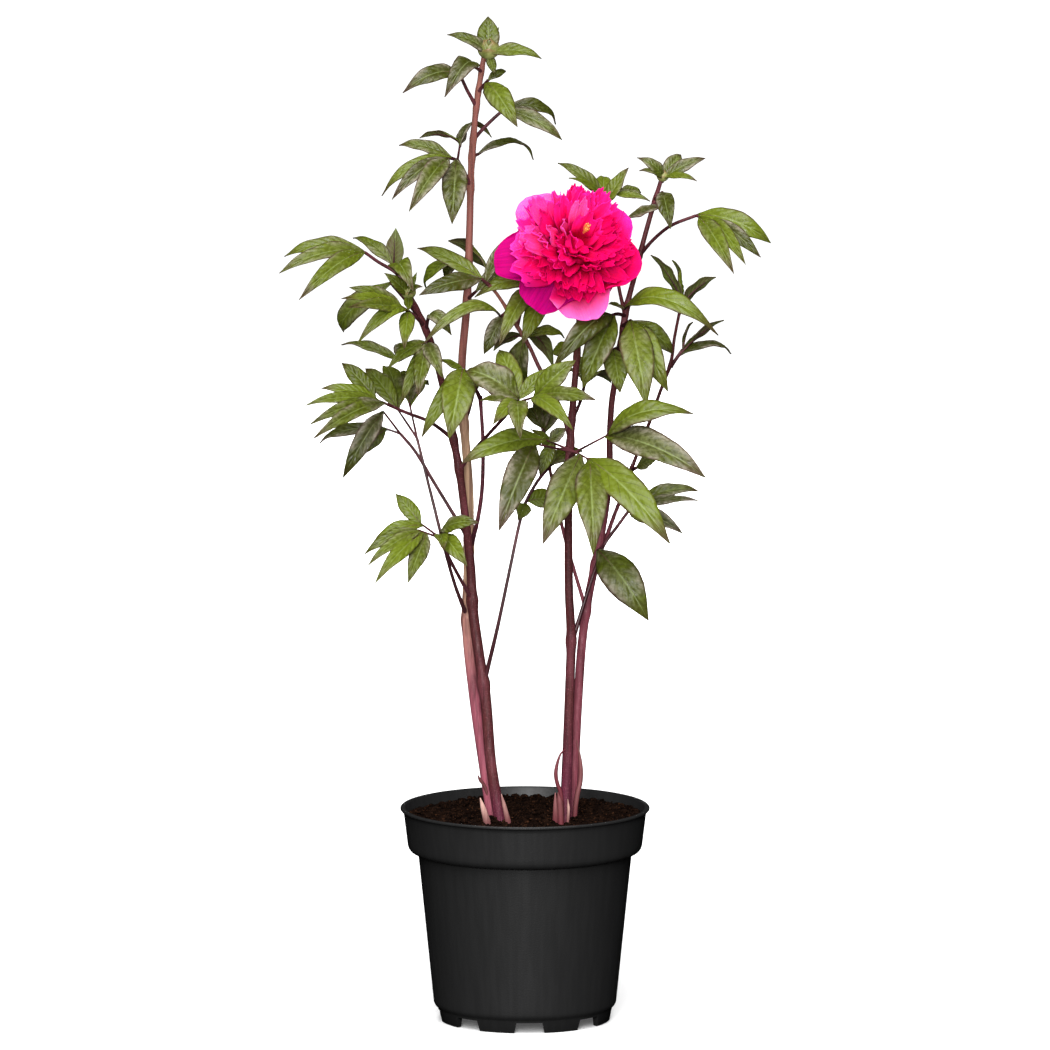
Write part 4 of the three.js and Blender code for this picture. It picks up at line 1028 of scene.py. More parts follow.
def pot_plastic(look):
    """Black moulded plastic with faint upright streaks."""
    material, tree, shader, place = new_material("pot_plastic", 0.45, 0.35)
    streaks = drawn_out(tree, place["Object"], (1, 1, 0.02), 240.0, 0.3, 0.75)
    grain = patches(tree, place["Object"], 1100.0, 0.3, 0.7)
    feed(tree, shader["Base Color"], blend(tree, streaks, look.plastic, look.plastic_light))
    feed(tree, shader["Roughness"], scaled(tree, streaks, 0.05, 0.42))
    bump(tree, shader, grain, 0.12, 0.0003)
    return material


def peat(look):
    """Dark peat with lighter specks."""
    material, tree, shader, place = new_material("peat", 1.0, 0.03)
    clod = patches(tree, place["Object"], 150.0, 0.38, 0.66)
    speck = patches(tree, place["Object"], 560.0, 0.58, 0.7)
    colour = blend(tree, clod, look.dark, look.light)
    feed(tree, shader["Base Color"], blend(tree, times(tree, speck, 0.35), colour, look.speck))
    bump(tree, shader, clod, 0.8, 0.0015)
    return material


def dry_sheath(look):
    """Dry papery sheaths, cream at the tip and pink below."""
    material, tree, shader, place = new_material("dry_sheath", 0.55, 0.3)
    height = parts_of(tree, place["Object"])["Z"]
    lines = drawn_out(tree, place["Object"], (1, 1, 0.08), 500.0, 0.35, 0.7)
    tone = attribute(tree, "tone")
    colour = blend(tree, tone, look.sheath_pink, look.sheath_cream)
    colour = blend(tree, band(tree, height, 0.175, 0.158, 0.0, 0.8), colour, look.sheath_pink)
    feed(tree, shader["Base Color"], blend(tree, times(tree, lines, 0.4), colour, look.sheath_dark))
    bump(tree, shader, lines, 0.3, 0.0004)
    return material


def stamen_skin(look):
    """Yellow stamens, warmer in places."""
    material, tree, shader, place = new_material("stamen", 0.6, 0.3)
    shade = patches(tree, place["Object"], 300.0, 0.3, 0.7)
    feed(tree, shader["Base Color"], blend(tree, shade, look.stamen, look.stamen_dark))
    return material


# Leaves


def rib_line(foot, tip, facing, lift, rows):
    """The arched rib of a blade, with the directions above and across it, and its length."""
    length = np.linalg.norm(tip - foot)
    chord = (tip - foot) / length
    rise = unit(facing - chord * facing.dot(chord))
    middle = (foot + tip) / 2 + rise * 2 * lift * length
    t = np.linspace(0, 1, rows + 1)[:, None]
    line = (1 - t) ** 2 * foot + 2 * t * (1 - t) * middle + t**2 * tip
    ahead = unit((1 - t) * (middle - foot) + t * (tip - middle))
    above = unit(rise - ahead * (ahead @ rise)[:, None])
    return line, above, np.cross(ahead, above), length


def turned(above, across, angles):
    """Turns a blade's directions about its rib, by an angle at each row."""
    c, s = np.cos(angles)[:, None], np.sin(angles)[:, None]
    return above * c + across * s, across * c - above * s


def facing_of(degrees):
    """The way that a face looks when it is turned from upwards to the front."""
    turn = math.radians(degrees)
    return np.array((0, -math.sin(turn), math.cos(turn)))


def leaflet_height(t, s, half, width, look, draw):
    """How far a leaflet rises at each share along (t) and across (s): folds, waves, puffs, groove."""
    out = np.abs(s)
    body = np.sin(math.pi * t)
    slant = (t - VEIN_SLANT * out**VEIN_CURVE) * SIDE_VEINS
    puff = np.abs(np.sin(math.pi * slant)) * body * np.sin(math.pi * out) ** 0.7
    groove = np.exp(-((s / GROOVE_WIDTH) ** 2))
    phase, waves = draw.uniform(0, 6.3), draw.uniform(*EDGE_WAVES)
    wave = np.sin(2 * math.pi * waves * t + phase + np.sign(s) * 1.3) * out**2 * body
    fold, droop = draw.uniform(*FOLD_SPREAD) * BLADE_FOLD, draw.uniform(*EDGE_DROOP)
    height = half * (fold * out - droop * out**2) + look.edge_wave * width * wave
    return height + look.vein_relief * (puff * 1.5 - groove)


def leaflet_surface(foot, row, look, draw, size=LEAFLET_GRID):
    """A leaflet: folded at its rib, puffed between its side veins, and waved at its edges."""
    slimmer = (MIDDLING_WIDTH / row[3]) ** SLIMMING_POWER
    width, turn, lift = row[3] * MM * look.leaflet_width * slimmer, row[4], row[5]
    line, above, across, length = rib_line(foot, seen(row), facing_of(turn), lift, size[0])
    t, s = shares(*size)
    twist = math.radians(draw.uniform(-LEAFLET_TWIST, LEAFLET_TWIST))
    above, across = turned(above, across, twist * ease(t[:, 0], 0.1, 1.0))
    half = width / 2 * np.interp(t, LEAFLET_LENGTHS, LEAFLET_WIDTHS)
    height = leaflet_height(t, s, half, width, look, draw)
    height = height - TIP_HANG * length * ease(t, TIP_START, 1.0) ** 2
    return spread_out(line, across, above, s * half, height)


def rib_under(surface):
    """The raised rib below a leaflet, from its foot most of the way to its tip."""
    shown = surface[: -len(surface) // 5 : 3]
    middle = shown[:, surface.shape[1] // 2]
    beside = shown[:, surface.shape[1] // 2 + 1] - middle
    ahead = np.gradient(middle, axis=0)
    down = unit(np.cross(ahead, beside))
    return middle + down * RIB_RISE * MM, np.linspace(*RIB_TAPER, len(middle))


def leaf_piece(row, look, sheet, skins):
    """One divided leaf on its stalk."""
    name, stem, stalk, sprays = row
    draw = random.Random(name)
    dullest = LEFT_STEM_TONE if stem == "stem_left" else 0
    points = [seen(p) for p in stalk]
    line = smooth_line(points, 6)
    along = np.linspace(0, 1, len(line))
    # A stalk is thickest at its foot, narrows quickly there and slowly from there on.
    swollen = 1.4 - 0.25 * ease(along, 0, 0.25) - 0.2 * along
    stalks = [(line, STALK_RADIUS * swollen)]
    blades = []
    for place, rows in sprays:
        foot = seen(place)
        end = min(points, key=lambda p: np.linalg.norm(p - foot))
        ribbed = np.linalg.norm(end - foot) > RIB_RADIUS * MM
        origin = end if ribbed else points[-2]
        if ribbed:
            stalks.append((smooth_line([end, foot], 4), RIB_RADIUS * np.linspace(1, 0.75, 5)))
        spacing = min(LEAFLET_SPACING * MM, np.linalg.norm(foot - origin) / len(rows))
        back = unit(origin - foot) * spacing
        for i, leaflet in enumerate(rows):
            surface = leaflet_surface(foot + back * i, leaflet, look, draw)
            blades.append(laid(sheet, surface, dullest + (1 - dullest) * draw.random()))
            stalks.append(rib_under(surface))
    settle(leafy_piece(name, blades, stalks, look, skins), "leaf", name)


def leaf_skins(look):
    """The materials of upper faces, undersides and stalks, each made the first time it is used."""
    makers = {"leaf_upper": leaf_upper, "leaf_under": leaf_under, "leaf_stalk": leaf_stalk}
    return [bpy.data.materials.get(name) or make(look) for name, make in makers.items()]


def leafy_piece(name, blades, stalks, look, skins):
    """Joins thickened blades, whose two faces differ, with the stalks that carry them."""
    blade = joined(name, blades)
    wear(blade, *skins)
    thicken(blade, look.blade_thickness, material_offset=1)
    stalk = rounds(name + "_stalk", stalks)
    wear(stalk, *skins)
    for face in stalk.data.polygons:
        face.material_index = len(skins) - 1
    paint(stalk, "tone", 0.5)
    return joined(name + "_fine", [blade, stalk])


# Stems


def stem_piece(name, skin):
    """A stem with its branches, swollen where its leaves and branches spring."""
    joints = [seen(row[2][0]) for row in LEAVES if row[1] == name]
    joints += [seen(path[0]) for path in STEMS[name][1:]]
    pieces = []
    for i, path in enumerate(STEMS[name]):
        points = [seen(p) for p in path]
        radii = [p[3] for p in path]
        if i == 0:
            points.insert(0, points[0] + unit(points[0] - points[1]) * STEM_DEPTH_IN_SOIL * MM)
            radii.insert(0, radii[0])
        line = smooth_line(points, 10)
        radius = np.interp(np.linspace(0, 1, len(line)), np.linspace(0, 1, len(radii)), radii)
        swell = np.zeros(len(line))
        for joint in joints:
            near = np.linalg.norm(line - joint, axis=1) / (JOINT_REACH * MM)
            swell = np.maximum(swell, np.exp(-(near**2)))
        pieces.append(rounds("stem", [(line, radius * (1 + JOINT_SWELL * swell))], STEM_SIDES))
        paint(pieces[-1], "tone", float(i > 0 and name in DARK_BRANCHES))
    piece = joined(name + "_fine", pieces)
    wear(piece, skin)
    settle(piece, "stem", name)


# Buds and bloom


def frame_about(axis):
    """An axis with two directions square to it: to the right, and up or back."""
    side = unit(np.array((1.0, 0, 0)) - axis * axis[0])
    return axis, side, np.cross(axis, side)


def ring_heading(axis, turn, lean):
    """The direction at a lean from an axis and a turn about it, and the one square to it inwards."""
    axis, side, other = frame_about(axis)
    outward = side * math.cos(turn) + other * math.sin(turn)
    heading = axis * math.cos(lean) + outward * math.sin(lean)
    return heading, axis * math.sin(lean) - outward * math.cos(lean)


def scale_surface(centre, radius, axis, turn, spread, reach):
    """A bud scale that wraps a ball from its foot up: broad in the middle and pinched at its tip."""
    axis, side, other = frame_about(axis)
    t, s = shares(*SCALE_GRID)
    down = math.pi * (1 - reach * t)
    width = spread * np.sin(math.pi * (0.18 + 0.74 * t)) ** 0.6 * (1 - ease(t, 0.8, 1.0) * 0.85)
    angle = turn + s * width
    out = np.cos(angle)[..., None] * side + np.sin(angle)[..., None] * other
    size = radius * (1.05 + 0.05 * np.cos(s * math.pi / 2) + 0.05 * t)
    round_it = np.sin(down)[..., None] * out + (np.cos(down) * np.ones_like(s))[..., None] * axis
    return centre + size[..., None] * round_it


def bud_piece(row, look, scale_skin, skins):
    """A round bud in overlapping scales, with leafy bracts below it."""
    name, _, place, radius, bracts = row
    draw = random.Random(name)
    centre = seen(place)
    up = unit(np.array(BUD_AXIS))
    sheet = blank_sheet(*SCALE_GRID)
    scales = []
    for layer, (count, reach, size) in enumerate(BUD_LAYERS):
        for i in range(count):
            turn = (i / count + layer * BUD_LAYER_TURN) * 2 * math.pi
            spread = math.pi / count * BUD_SCALE_OVERLAP
            surface = scale_surface(centre, radius * size * MM, up, turn, spread, reach)
            scales.append(laid(sheet, surface))
    ball = joined(name + "_ball", scales)
    wear(ball, scale_skin)
    thicken(ball, SCALE_THICKNESS * MM)
    foot = centre - np.array((0, 0, radius * BRACT_DROP * MM))
    leafy = blank_sheet(*BRACT_GRID)
    blades = [laid(leafy, leaflet_surface(foot, bract, look, draw, BRACT_GRID), draw.uniform(0.3, 1))
              for bract in bracts]
    stalk = smooth_line([centre - up * radius * BUD_STALK_LENGTH * MM, centre], 4)
    leaves = leafy_piece(name, blades, [(stalk, radius * BUD_STALK_RADIUS)], look, skins)
    discard(sheet, leafy)
    settle(joined(name + "_fine", [leaves, ball]), "bud", name)


def petal_rib(seat, ring, i, draw, rows):
    """Where a petal springs and which way it goes: its rib, the directions about it, and its size."""
    count, length, degrees, curl, cover, _ = PETAL_RINGS[ring]
    guard = ring < GUARD_RINGS
    place_chance, lean_chance, twist_chance = GUARD_CHANCE if guard else INNER_CHANCE
    lean = math.radians(degrees)
    width = cover * 2 * math.pi * PETAL_ROOM * length * max(math.sin(lean), LEAST_SPREAD) / count * MM
    place = i + (ring % 2) / 2 + draw.uniform(-place_chance, place_chance)
    turn = PETAL_TURN + place / count * 2 * math.pi
    lean *= 1 + draw.uniform(-1, 1) * lean_chance
    tuft = 0 if guard else TUFT_DEPTH * math.cos(TUFTS * turn + ring * 0.5)
    length *= MM * (1 + tuft + draw.uniform(*PETAL_LENGTHS))
    if guard:
        turn += math.radians(GUARDS[i][1])
        length *= GUARDS[i][2]
    else:
        for side, share, narrow in BARE_SIDES:
            length *= 1 - share * max(0, math.cos(turn - math.radians(side))) ** narrow
    inside = ring / (len(PETAL_RINGS) - 1)
    axis = unit(np.array(BLOOM_AXIS) + np.array((HEART_SIDEWAYS * inside, 0, 0)))
    heading, inward = ring_heading(axis, turn, lean)
    line, above, across, _ = rib_line(
        seat + heading * PETAL_ROOT * MM, seat + heading * length, inward, -curl, rows)
    twist = draw.uniform(-1, 1) * twist_chance
    above, across = turned(above, across, twist * ease(np.linspace(0, 1, rows + 1), 0.2, 1.0))
    return line, above, across, heading, width, length, turn


def petal_surface(petal, fray, guard, look, draw, size):
    """One petal: cupped and ruffled, with a round end that is notched a little."""
    line, above, across, heading, width, length, _ = petal
    t, s = shares(*size)
    widths = GUARD_WIDTHS if guard else INNER_WIDTHS
    half = width / 2 * np.interp(t, np.linspace(0, 1, len(widths)), widths)
    phase = draw.uniform(0, 6.3)
    late = ease(t, 0.3, 1.0)
    cup = draw.uniform(*PETAL_CUP) * half * s**2
    pleats = np.sin(s * draw.uniform(*PLEATS) + phase + t * 2) * late
    crimp = np.sin(s * draw.uniform(*CRIMPS) + phase * 3) * ease(t, 0.6, 1.0)
    ruffle = (look.ruffle * pleats + CRIMP_HEIGHT * look.ruffle * crimp) * width
    ruffle = ruffle * (GUARD_RUFFLE if guard else 1.0)
    bend = draw.uniform(*(GUARD_BEND if guard else INNER_BEND)) * length * ease(t, 0.45, 1.0) ** 2
    # Broad and narrow waves notch the end, and its round form falls away at both sides.
    notch = 0.5 + 0.3 * np.sin(s * draw.uniform(*NOTCHES) + phase * 2) + 0.2 * np.sin(s * 17 + phase)
    cap = END_ROUND * width * (1 - np.sqrt(1 - (0.97 * s) ** 2))
    shorten = (fray * length * notch + cap) * ease(t, 0.45, 1.0)
    surface = spread_out(line, across, above, s * half, cup + ruffle + bend)
    return surface - heading * shorten[..., None]


def bloom_piece(look, skin):
    """The double bloom: guard petals outside, and ruffled narrower petals crowded within."""
    draw = random.Random("bloom")
    seat = seen(BLOOM_SEAT)
    broad, narrow = blank_sheet(*GUARD_GRID), blank_sheet(*INNER_GRID)
    petals = []
    for ring, (count, *_, fray) in enumerate(PETAL_RINGS):
        guard = ring < GUARD_RINGS
        sheet, size = (broad, GUARD_GRID) if guard else (narrow, INNER_GRID)
        for i in range(count):
            petal = petal_rib(seat, ring, i, draw, size[0])
            surface = petal_surface(petal, fray, guard, look, draw, size)
            # The side term is painted light: inner petals towards the lit side are paler, a painted
            # highlight, and those opposite redder, a painted shade.
            fade_and_highlight = FADED_MIDWAY + PAINTED_LIGHT_BY_SIDE * math.cos(petal[-1] - PAINTED_LIGHT_SIDE)
            fade_and_highlight = min(max(fade_and_highlight + draw.uniform(-FADED_BY_CHANCE, FADED_BY_CHANCE), FADED_LEAST), FADED_MOST)
            tone = GUARDS[i][0] if guard else fade_and_highlight
            petals.append(laid(sheet, surface, tone))
    discard(broad, narrow)
    piece = joined("bloom_petals_fine", petals)
    wear(piece, skin)
    thicken(piece, look.petal_thickness)
    settle(piece, "petal", "bloom_petals")
    heart_piece(seat, skin)


def heart_piece(seat, skin):
    """The bloom's solid heart, which closes the view between its petals."""
    deselect()
    size = CORE_RADIUS * HEART_SHARE * MM
    bpy.ops.mesh.primitive_uv_sphere_add(segments=32, ring_count=16, radius=size)
    heart = added("bloom_heart")
    heart.scale = (1, 1, CORE_DEPTH / CORE_RADIUS)
    heart.rotation_euler = BLOOM_AXIS.to_track_quat("Z", "Y").to_euler()
    heart.location = Vector(seat) + BLOOM_AXIS * (CORE_DEPTH - CORE_SINK) * MM
    bpy.ops.object.transform_apply(location=True, rotation=True, scale=True)
    bpy.ops.object.shade_smooth()
    paint(heart, "tone", HEART_TONE)
    wear(heart, skin)
    settle(heart, "petal")


def stamens_piece(skin):
    """A tuft of yellow stamens that shows between the innermost petals."""
    draw = random.Random("stamens")
    axis, side, other = frame_about(np.array(BLOOM_AXIS))
    ahead, sideways, up = STAMEN_SEAT
    seat = seen(BLOOM_SEAT) + axis * ahead * MM + (side * sideways + other * up) * MM
    lines = []
    for _ in range(STAMENS):
        turn, lean = draw.uniform(0, 2 * math.pi), draw.uniform(0, STAMEN_LEAN)
        heading = axis + side * HEART_SIDEWAYS + (side * math.cos(turn) + other * math.sin(turn)) * lean
        length = draw.uniform(*STAMEN_LENGTHS) * MM
        middle = seat + heading * length * 0.5 + side * 0.6 * MM
        line = smooth_line([seat, middle, seat + heading * length], 4)
        lines.append((line, STAMEN_RADIUS * STAMEN_TAPER))
    piece = rounds("stamens", lines, 6)
    wear(piece, skin)
    settle(piece, None)


def sepals_piece(look, skins):
    """The calyx cup with its leafy sepals behind the bloom."""
    draw = random.Random("sepals")
    axis = np.array(BLOOM_AXIS)
    base = seen(BLOOM_SEAT) - axis * CALYX_DROP * MM
    cup = np.array([base + axis * place * MM for place in CALYX_PLACES])
    sheet = blank_sheet(*SEPAL_GRID)
    t, s = shares(*SEPAL_GRID)
    half = SEPAL_WIDTH / 2 * MM * np.interp(t, SEPAL_LENGTHS, SEPAL_WIDTHS)
    blades = []
    for i in range(SEPALS):
        turn = PETAL_TURN + (i + 0.5) / SEPALS * 2 * math.pi
        heading, inward = ring_heading(axis, turn, SEPAL_LEAN)
        foot, tip = base + heading * SEPAL_ROOT * MM, base + heading * SEPAL_LENGTH * MM
        line, above, across, _ = rib_line(foot, tip, inward, SEPAL_ARCH, SEPAL_GRID[0])
        surface = spread_out(line, across, above, s * half, SEPAL_CUP * half * s**2)
        blades.append(laid(sheet, surface, draw.random()))
    discard(sheet)
    piece = leafy_piece("bloom_sepals", blades, [(cup, np.array(CALYX_RADII))], look, skins)
    settle(piece, "bud", "bloom_sepals")


# Sheaths


def sheath_piece(row, skin):
    """A dry sheath at a stem's foot, curled round the way it grew."""
    name, foot, tip, width, turn, lift, paleness = row
    line, above, across, _ = rib_line(seen(foot), seen(tip), facing_of(turn), lift, SHEATH_GRID[0])
    t, s = shares(*SHEATH_GRID)
    angle = s * SHEATH_CURL
    half = width / 2 * MM * np.interp(t, SHEATH_LENGTHS, SHEATH_WIDTHS)
    surface = spread_out(line, across, above, np.sin(angle) * half, (np.cos(angle) - 1) * half)
    sheet = blank_sheet(*SHEATH_GRID)
    piece = laid(sheet, surface, paleness)
    discard(sheet)
    piece.name = name + "_fine"
    wear(piece, skin)
    thicken(piece, SCALE_THICKNESS * MM)
    settle(piece, "sheath", name)


def scales_piece(skin):
    """The dried scales that curve along the stems, each thin at its start."""
    pieces = []
    for points, radius, tone in SCALES:
        line = smooth_line([seen(p) for p in points], 8)
        t = np.linspace(0, 1, len(line))
        piece = rounds("scale", [(line, radius * (0.25 + 0.75 * ease(t, 0, 0.45)))])
        paint(piece, "tone", tone)
        pieces.append(piece)
    piece = joined("dry_scales", pieces)
    wear(piece, skin)
    settle(piece, "sheath")


# Pot and soil


def pot_profile():
    """The pot's wall from the middle of its underside, up the outside, over the lip and down inside."""
    rim, top = RIM_RADIUS, POT_HEIGHT
    collar, under_lip = rim - LIP_REACH, top - LIP_DEPTH
    ring = FOOT_BASE_RADIUS - FOOT_RING_WALL
    foot = [
        (0, FLOOR_HEIGHT), (ring - 1, FLOOR_HEIGHT), (ring, FLOOR_HEIGHT - 1),
        (ring, 0.5), (ring + 0.5, 0), (FOOT_BASE_RADIUS - 0.5, 0), (FOOT_BASE_RADIUS, 0.5),
        (FOOT_RING_RADIUS, FOOT_RING_TOP), (FOOT_RING_RADIUS + 0.4, FOOT_RING_TOP + 0.7),
    ]
    wall = [
        (BODY_FOOT_RADIUS - 1.2, BODY_FOOT_HEIGHT - 3.4),
        (BODY_FOOT_RADIUS - 0.3, BODY_FOOT_HEIGHT - 1.6),
        (BODY_FOOT_RADIUS, BODY_FOOT_HEIGHT),
        (BODY_FOOT_RADIUS + 0.4, BODY_FOOT_HEIGHT + 4),
        (SHOULDER_RADIUS, SHOULDER_HEIGHT - 0.4),
        (SHOULDER_RADIUS + 0.5, SHOULDER_HEIGHT + 0.1),
    ]
    step_out_to_collar = [
        (COLLAR_FOOT_RADIUS - 4.6, COLLAR_FOOT_HEIGHT - 3.4),
        (COLLAR_FOOT_RADIUS - 2.2, COLLAR_FOOT_HEIGHT - 2.3),
        (COLLAR_FOOT_RADIUS - 0.7, COLLAR_FOOT_HEIGHT - 0.6),
        (COLLAR_FOOT_RADIUS, COLLAR_FOOT_HEIGHT + 1.6),
        (COLLAR_FOOT_RADIUS + 0.4, COLLAR_FOOT_HEIGHT + 4.8),
        (collar - 0.3, under_lip - 3),
    ]
    lip = [
        (collar, under_lip - 0.6), (collar + 0.5, under_lip - 0.1), (rim - 0.6, under_lip + 0.3),
        (rim, under_lip + 1), (rim, top - 0.7), (rim - 0.6, top - 0.1),
        (rim - 1.8, top), (collar - 1.0, top - 0.3), (collar - POT_WALL, top - 1.2),
    ]
    inside = [
        (COLLAR_FOOT_RADIUS - POT_WALL, COLLAR_FOOT_HEIGHT + 2),
        (SHOULDER_RADIUS - POT_WALL, SHOULDER_HEIGHT + 2),
        (BODY_FOOT_RADIUS - POT_WALL, BODY_FOOT_HEIGHT + 1),
        (FOOT_RING_RADIUS - POT_WALL, FLOOR_HEIGHT + POT_WALL), (0, FLOOR_HEIGHT + POT_WALL),
    ]
    return foot + wall + step_out_to_collar + lip + inside


def ring_place(turn, radius, height):
    """A place round the pot's axis, turned from the front."""
    return math.sin(turn) * radius * MM, -math.cos(turn) * radius * MM, height * MM


def gap_cutters():
    """Blocks for the gaps in the pot's foot ring, with slanted ends, and rods for its drain holes."""
    cutters = []
    for i in range(FOOT_GAPS):
        turn = i / FOOT_GAPS * 2 * math.pi + FOOT_GAP_TURN
        deselect()
        bpy.ops.mesh.primitive_cube_add(size=1)
        cutter = added("cutter")
        cutter.scale = (FOOT_GAP_WIDTH * MM, FOOT_RING_WALL * 4 * MM, FOOT_GAP_HEIGHT * 2 * MM)
        bpy.ops.object.transform_apply(scale=True)
        for corner in cutter.data.vertices:
            corner.co.x *= FOOT_GAP_TOP if corner.co.z > 0 else FOOT_GAP_FOOT
        cutter.location = ring_place(turn, FOOT_BASE_RADIUS, 0)
        cutter.rotation_euler = (0, 0, turn)
        cutters.append(cutter)
    for i in range(DRAINS):
        turn = (i + 0.5) / DRAINS * 2 * math.pi
        deselect()
        place = ring_place(turn, DRAIN_CIRCLE, FLOOR_HEIGHT)
        bpy.ops.mesh.primitive_cylinder_add(
            vertices=32, radius=DRAIN_RADIUS * MM, depth=DRAIN_CUT * MM, location=place)
        cutters.append(added("cutter"))
    return cutters


def pot_piece(skin):
    """The pot: its wall spun about its axis, with foot gaps and drains cut through."""
    pot = spun("pot_fine", pot_profile(), POT_STEPS)
    cutters = gap_cutters()
    for cutter in cutters:
        finish_with(pot, "BOOLEAN", operation="DIFFERENCE", object=cutter, solver="EXACT")
    discard(*cutters)
    pick(pot)
    bpy.ops.object.shade_smooth_by_angle(angle=POT_CREASE)
    wear(pot, skin)
    settle(pot, "pot", "pot")


def soil_height(x, y):
    """Height of the uneven soil at a place, all in millimetres."""
    # Broad swells, smaller ripples and rough lumps, with a dip along the pot's wall
    swell = SOIL_BUMP * math.sin(x * 0.13 + 1.2) * math.cos(y * 0.11)
    ripple = SOIL_BUMP * 0.7 * math.sin(x * 0.31 + y * 0.23)
    rough = noise.fractal(Vector((x, y, 0)) * 0.16, 0.9, 2.0, 4)
    dip = SOIL_DIP * float(ease(math.hypot(x, y), SOIL_RADIUS * 0.7, SOIL_RADIUS))
    return SOIL_LEVEL + swell * 0.7 + ripple * 0.6 + rough * 1.7 - dip


def soil_piece(look, skin):
    """The soil: an uneven disc of peat, with crumbs and fibres strewn over it."""
    top = [(SOIL_RADIUS * (1 - i / SOIL_RINGS), SOIL_LEVEL) for i in range(SOIL_RINGS + 1)]
    bottom = SOIL_LEVEL - SOIL_DEPTH
    soil = spun("soil_disc", [(0, bottom), (SOIL_RADIUS - 1.5, bottom), *top], SOIL_STEPS)
    for point in soil.data.vertices:
        if point.co.z > (bottom + 1) * MM:
            point.co.z = soil_height(point.co.x / MM, point.co.y / MM) * MM
    bpy.ops.object.shade_smooth()
    soil = joined("soil_fine", [soil, crumbs(look), fibres(look)])
    wear(soil, skin)
    settle(soil, "soil", "soil")


def strewn(draw, reach):
    """A random place on the soil within a share of its radius, in millimetres."""
    radius, turn = SOIL_RADIUS * math.sqrt(draw.random()) * reach, draw.uniform(0, 2 * math.pi)
    x, y = radius * math.cos(turn), radius * math.sin(turn)
    return x, y, soil_height(x, y)


def crumbs(look):
    """Crumbs of several sizes, each a lumpy ball."""
    draw = random.Random("crumbs")
    deselect()
    bpy.ops.mesh.primitive_ico_sphere_add(subdivisions=2, radius=1)
    ball = added("crumb")
    shape = np.array([v.co for v in ball.data.vertices])
    sides = np.array([tuple(p.vertices) for p in ball.data.polygons])
    discard(ball)
    points, faces = [], []
    for i in range(look.crumbs):
        x, y, height = strewn(draw, 0.97)
        size = CRUMB_RADIUS + CRUMB_GROWTH * draw.random() ** 3
        lumps = np.array([1 + CRUMB_LUMPS * noise.noise(Vector(p) * 1.3 + Vector((x, y, 0))) for p in shape])
        stretch = np.array([draw.uniform(0.7, 1.4), draw.uniform(0.7, 1.4), draw.uniform(0.5, 0.9)])
        points.append((shape * lumps[:, None] * stretch * size + (x, y, height + size * 0.25)) * MM)
        faces.append(sides + i * len(shape))
    mesh = bpy.data.meshes.new("crumbs")
    mesh.from_pydata(np.concatenate(points).tolist(), [], np.concatenate(faces).tolist())
    return put("crumbs", mesh)


def fibres(look):
    """Short fibres that lie on the soil."""
    draw = random.Random("fibres")
    lines = []
    for _ in range(look.fibres):
        start = np.array(strewn(draw, 0.9)) + (0, 0, 0.8)
        heading = np.array((draw.uniform(-1, 1), draw.uniform(-1, 1), draw.uniform(-0.1, 0.25)))
        bend, end = start + heading * FIBRE_BEND + (0, 0, 0.5), start + heading * FIBRE_LENGTH
        lines.append((smooth_line(np.array([start, bend, end]) * MM, 3), FIBRE_RADIUS))
    return rounds("fibres", lines, 4)


# Stage


def make_floor(look):
    """A wide pale floor, whose own glow is kept off the plant as a studio's flags would."""
    deselect()
    bpy.ops.mesh.primitive_plane_add(size=FLOOR_SIZE)
    floor = added("floor")
    material, _, shader, _ = new_material("floor", 0.9, 0.1)
    shader["Base Color"].default_value = (*look.floor, 1)
    shader["Emission Color"].default_value = (1, 1, 1, 1)
    shader["Emission Strength"].default_value = look.glow
    wear(floor, material)
    floor.visible_glossy = False
    floor.visible_diffuse = False


def add_light(name, kind, place, power, size):
    """A light turned to the plant, with its size in metres, or in radians for a sun."""
    deselect()
    bpy.ops.object.light_add(type=kind, location=place)
    light = added(name)
    light.data.energy = power
    light.visible_camera = False
    if kind == "SUN":
        light.data.angle = size
    else:
        light.data.size = size
    aim = Vector(LIGHT_AIM) - Vector(place)
    light.rotation_euler = aim.to_track_quat("-Z", "Y").to_euler()
    return light


def make_lights(look):
    """A wide overhead light, a large soft key from the front, and one from behind without glare."""
    add_light("overhead", "SUN", (-0.12, -1.6, 2.8), look.sun, math.radians(50))
    add_light("key", "AREA", (-0.15, -3.2, 1.2), look.key, 1.0)
    add_light("back", "AREA", (0.4, 3.2, 1.4), look.back, 1.6).visible_glossy = False
    world = bpy.data.worlds.new("studio")
    bpy.context.scene.world = world
    world.use_nodes = True
    surroundings = world.node_tree.nodes["Background"]
    surroundings.inputs["Color"].default_value = (1, 1, 1, 1)
    surroundings.inputs["Strength"].default_value = look.sky
    world.cycles_visibility.glossy = False
    bpy.context.scene.view_settings.view_transform = "Standard"


def make_camera(look):
    """A long lens from the front, a little above the horizon, that frames the plant as seen."""
    target = Vector((0, 0, VIEW_CENTRE_UP / math.cos(VIEW_TILT) * MM))
    back = Vector((0, -math.cos(CAMERA_TILT), math.sin(CAMERA_TILT)))
    deselect()
    bpy.ops.object.camera_add(location=target + back * look.distance)
    camera = added("camera")
    camera.rotation_euler = (-back).to_track_quat("-Z", "Y").to_euler()
    camera.data.sensor_width = SENSOR
    camera.data.lens = SENSOR * look.distance / (PICTURE_PIXELS * PIXEL_MM * MM)
    camera.data.clip_end = CAMERA_REACH
    bpy.context.scene.camera = camera


# Settings


def colour_of(name, description, value):
    """A colour setting with its words and its default."""
    return FloatVectorProperty(
        name=name, description=description, default=value, subtype="COLOR", min=0, max=1)


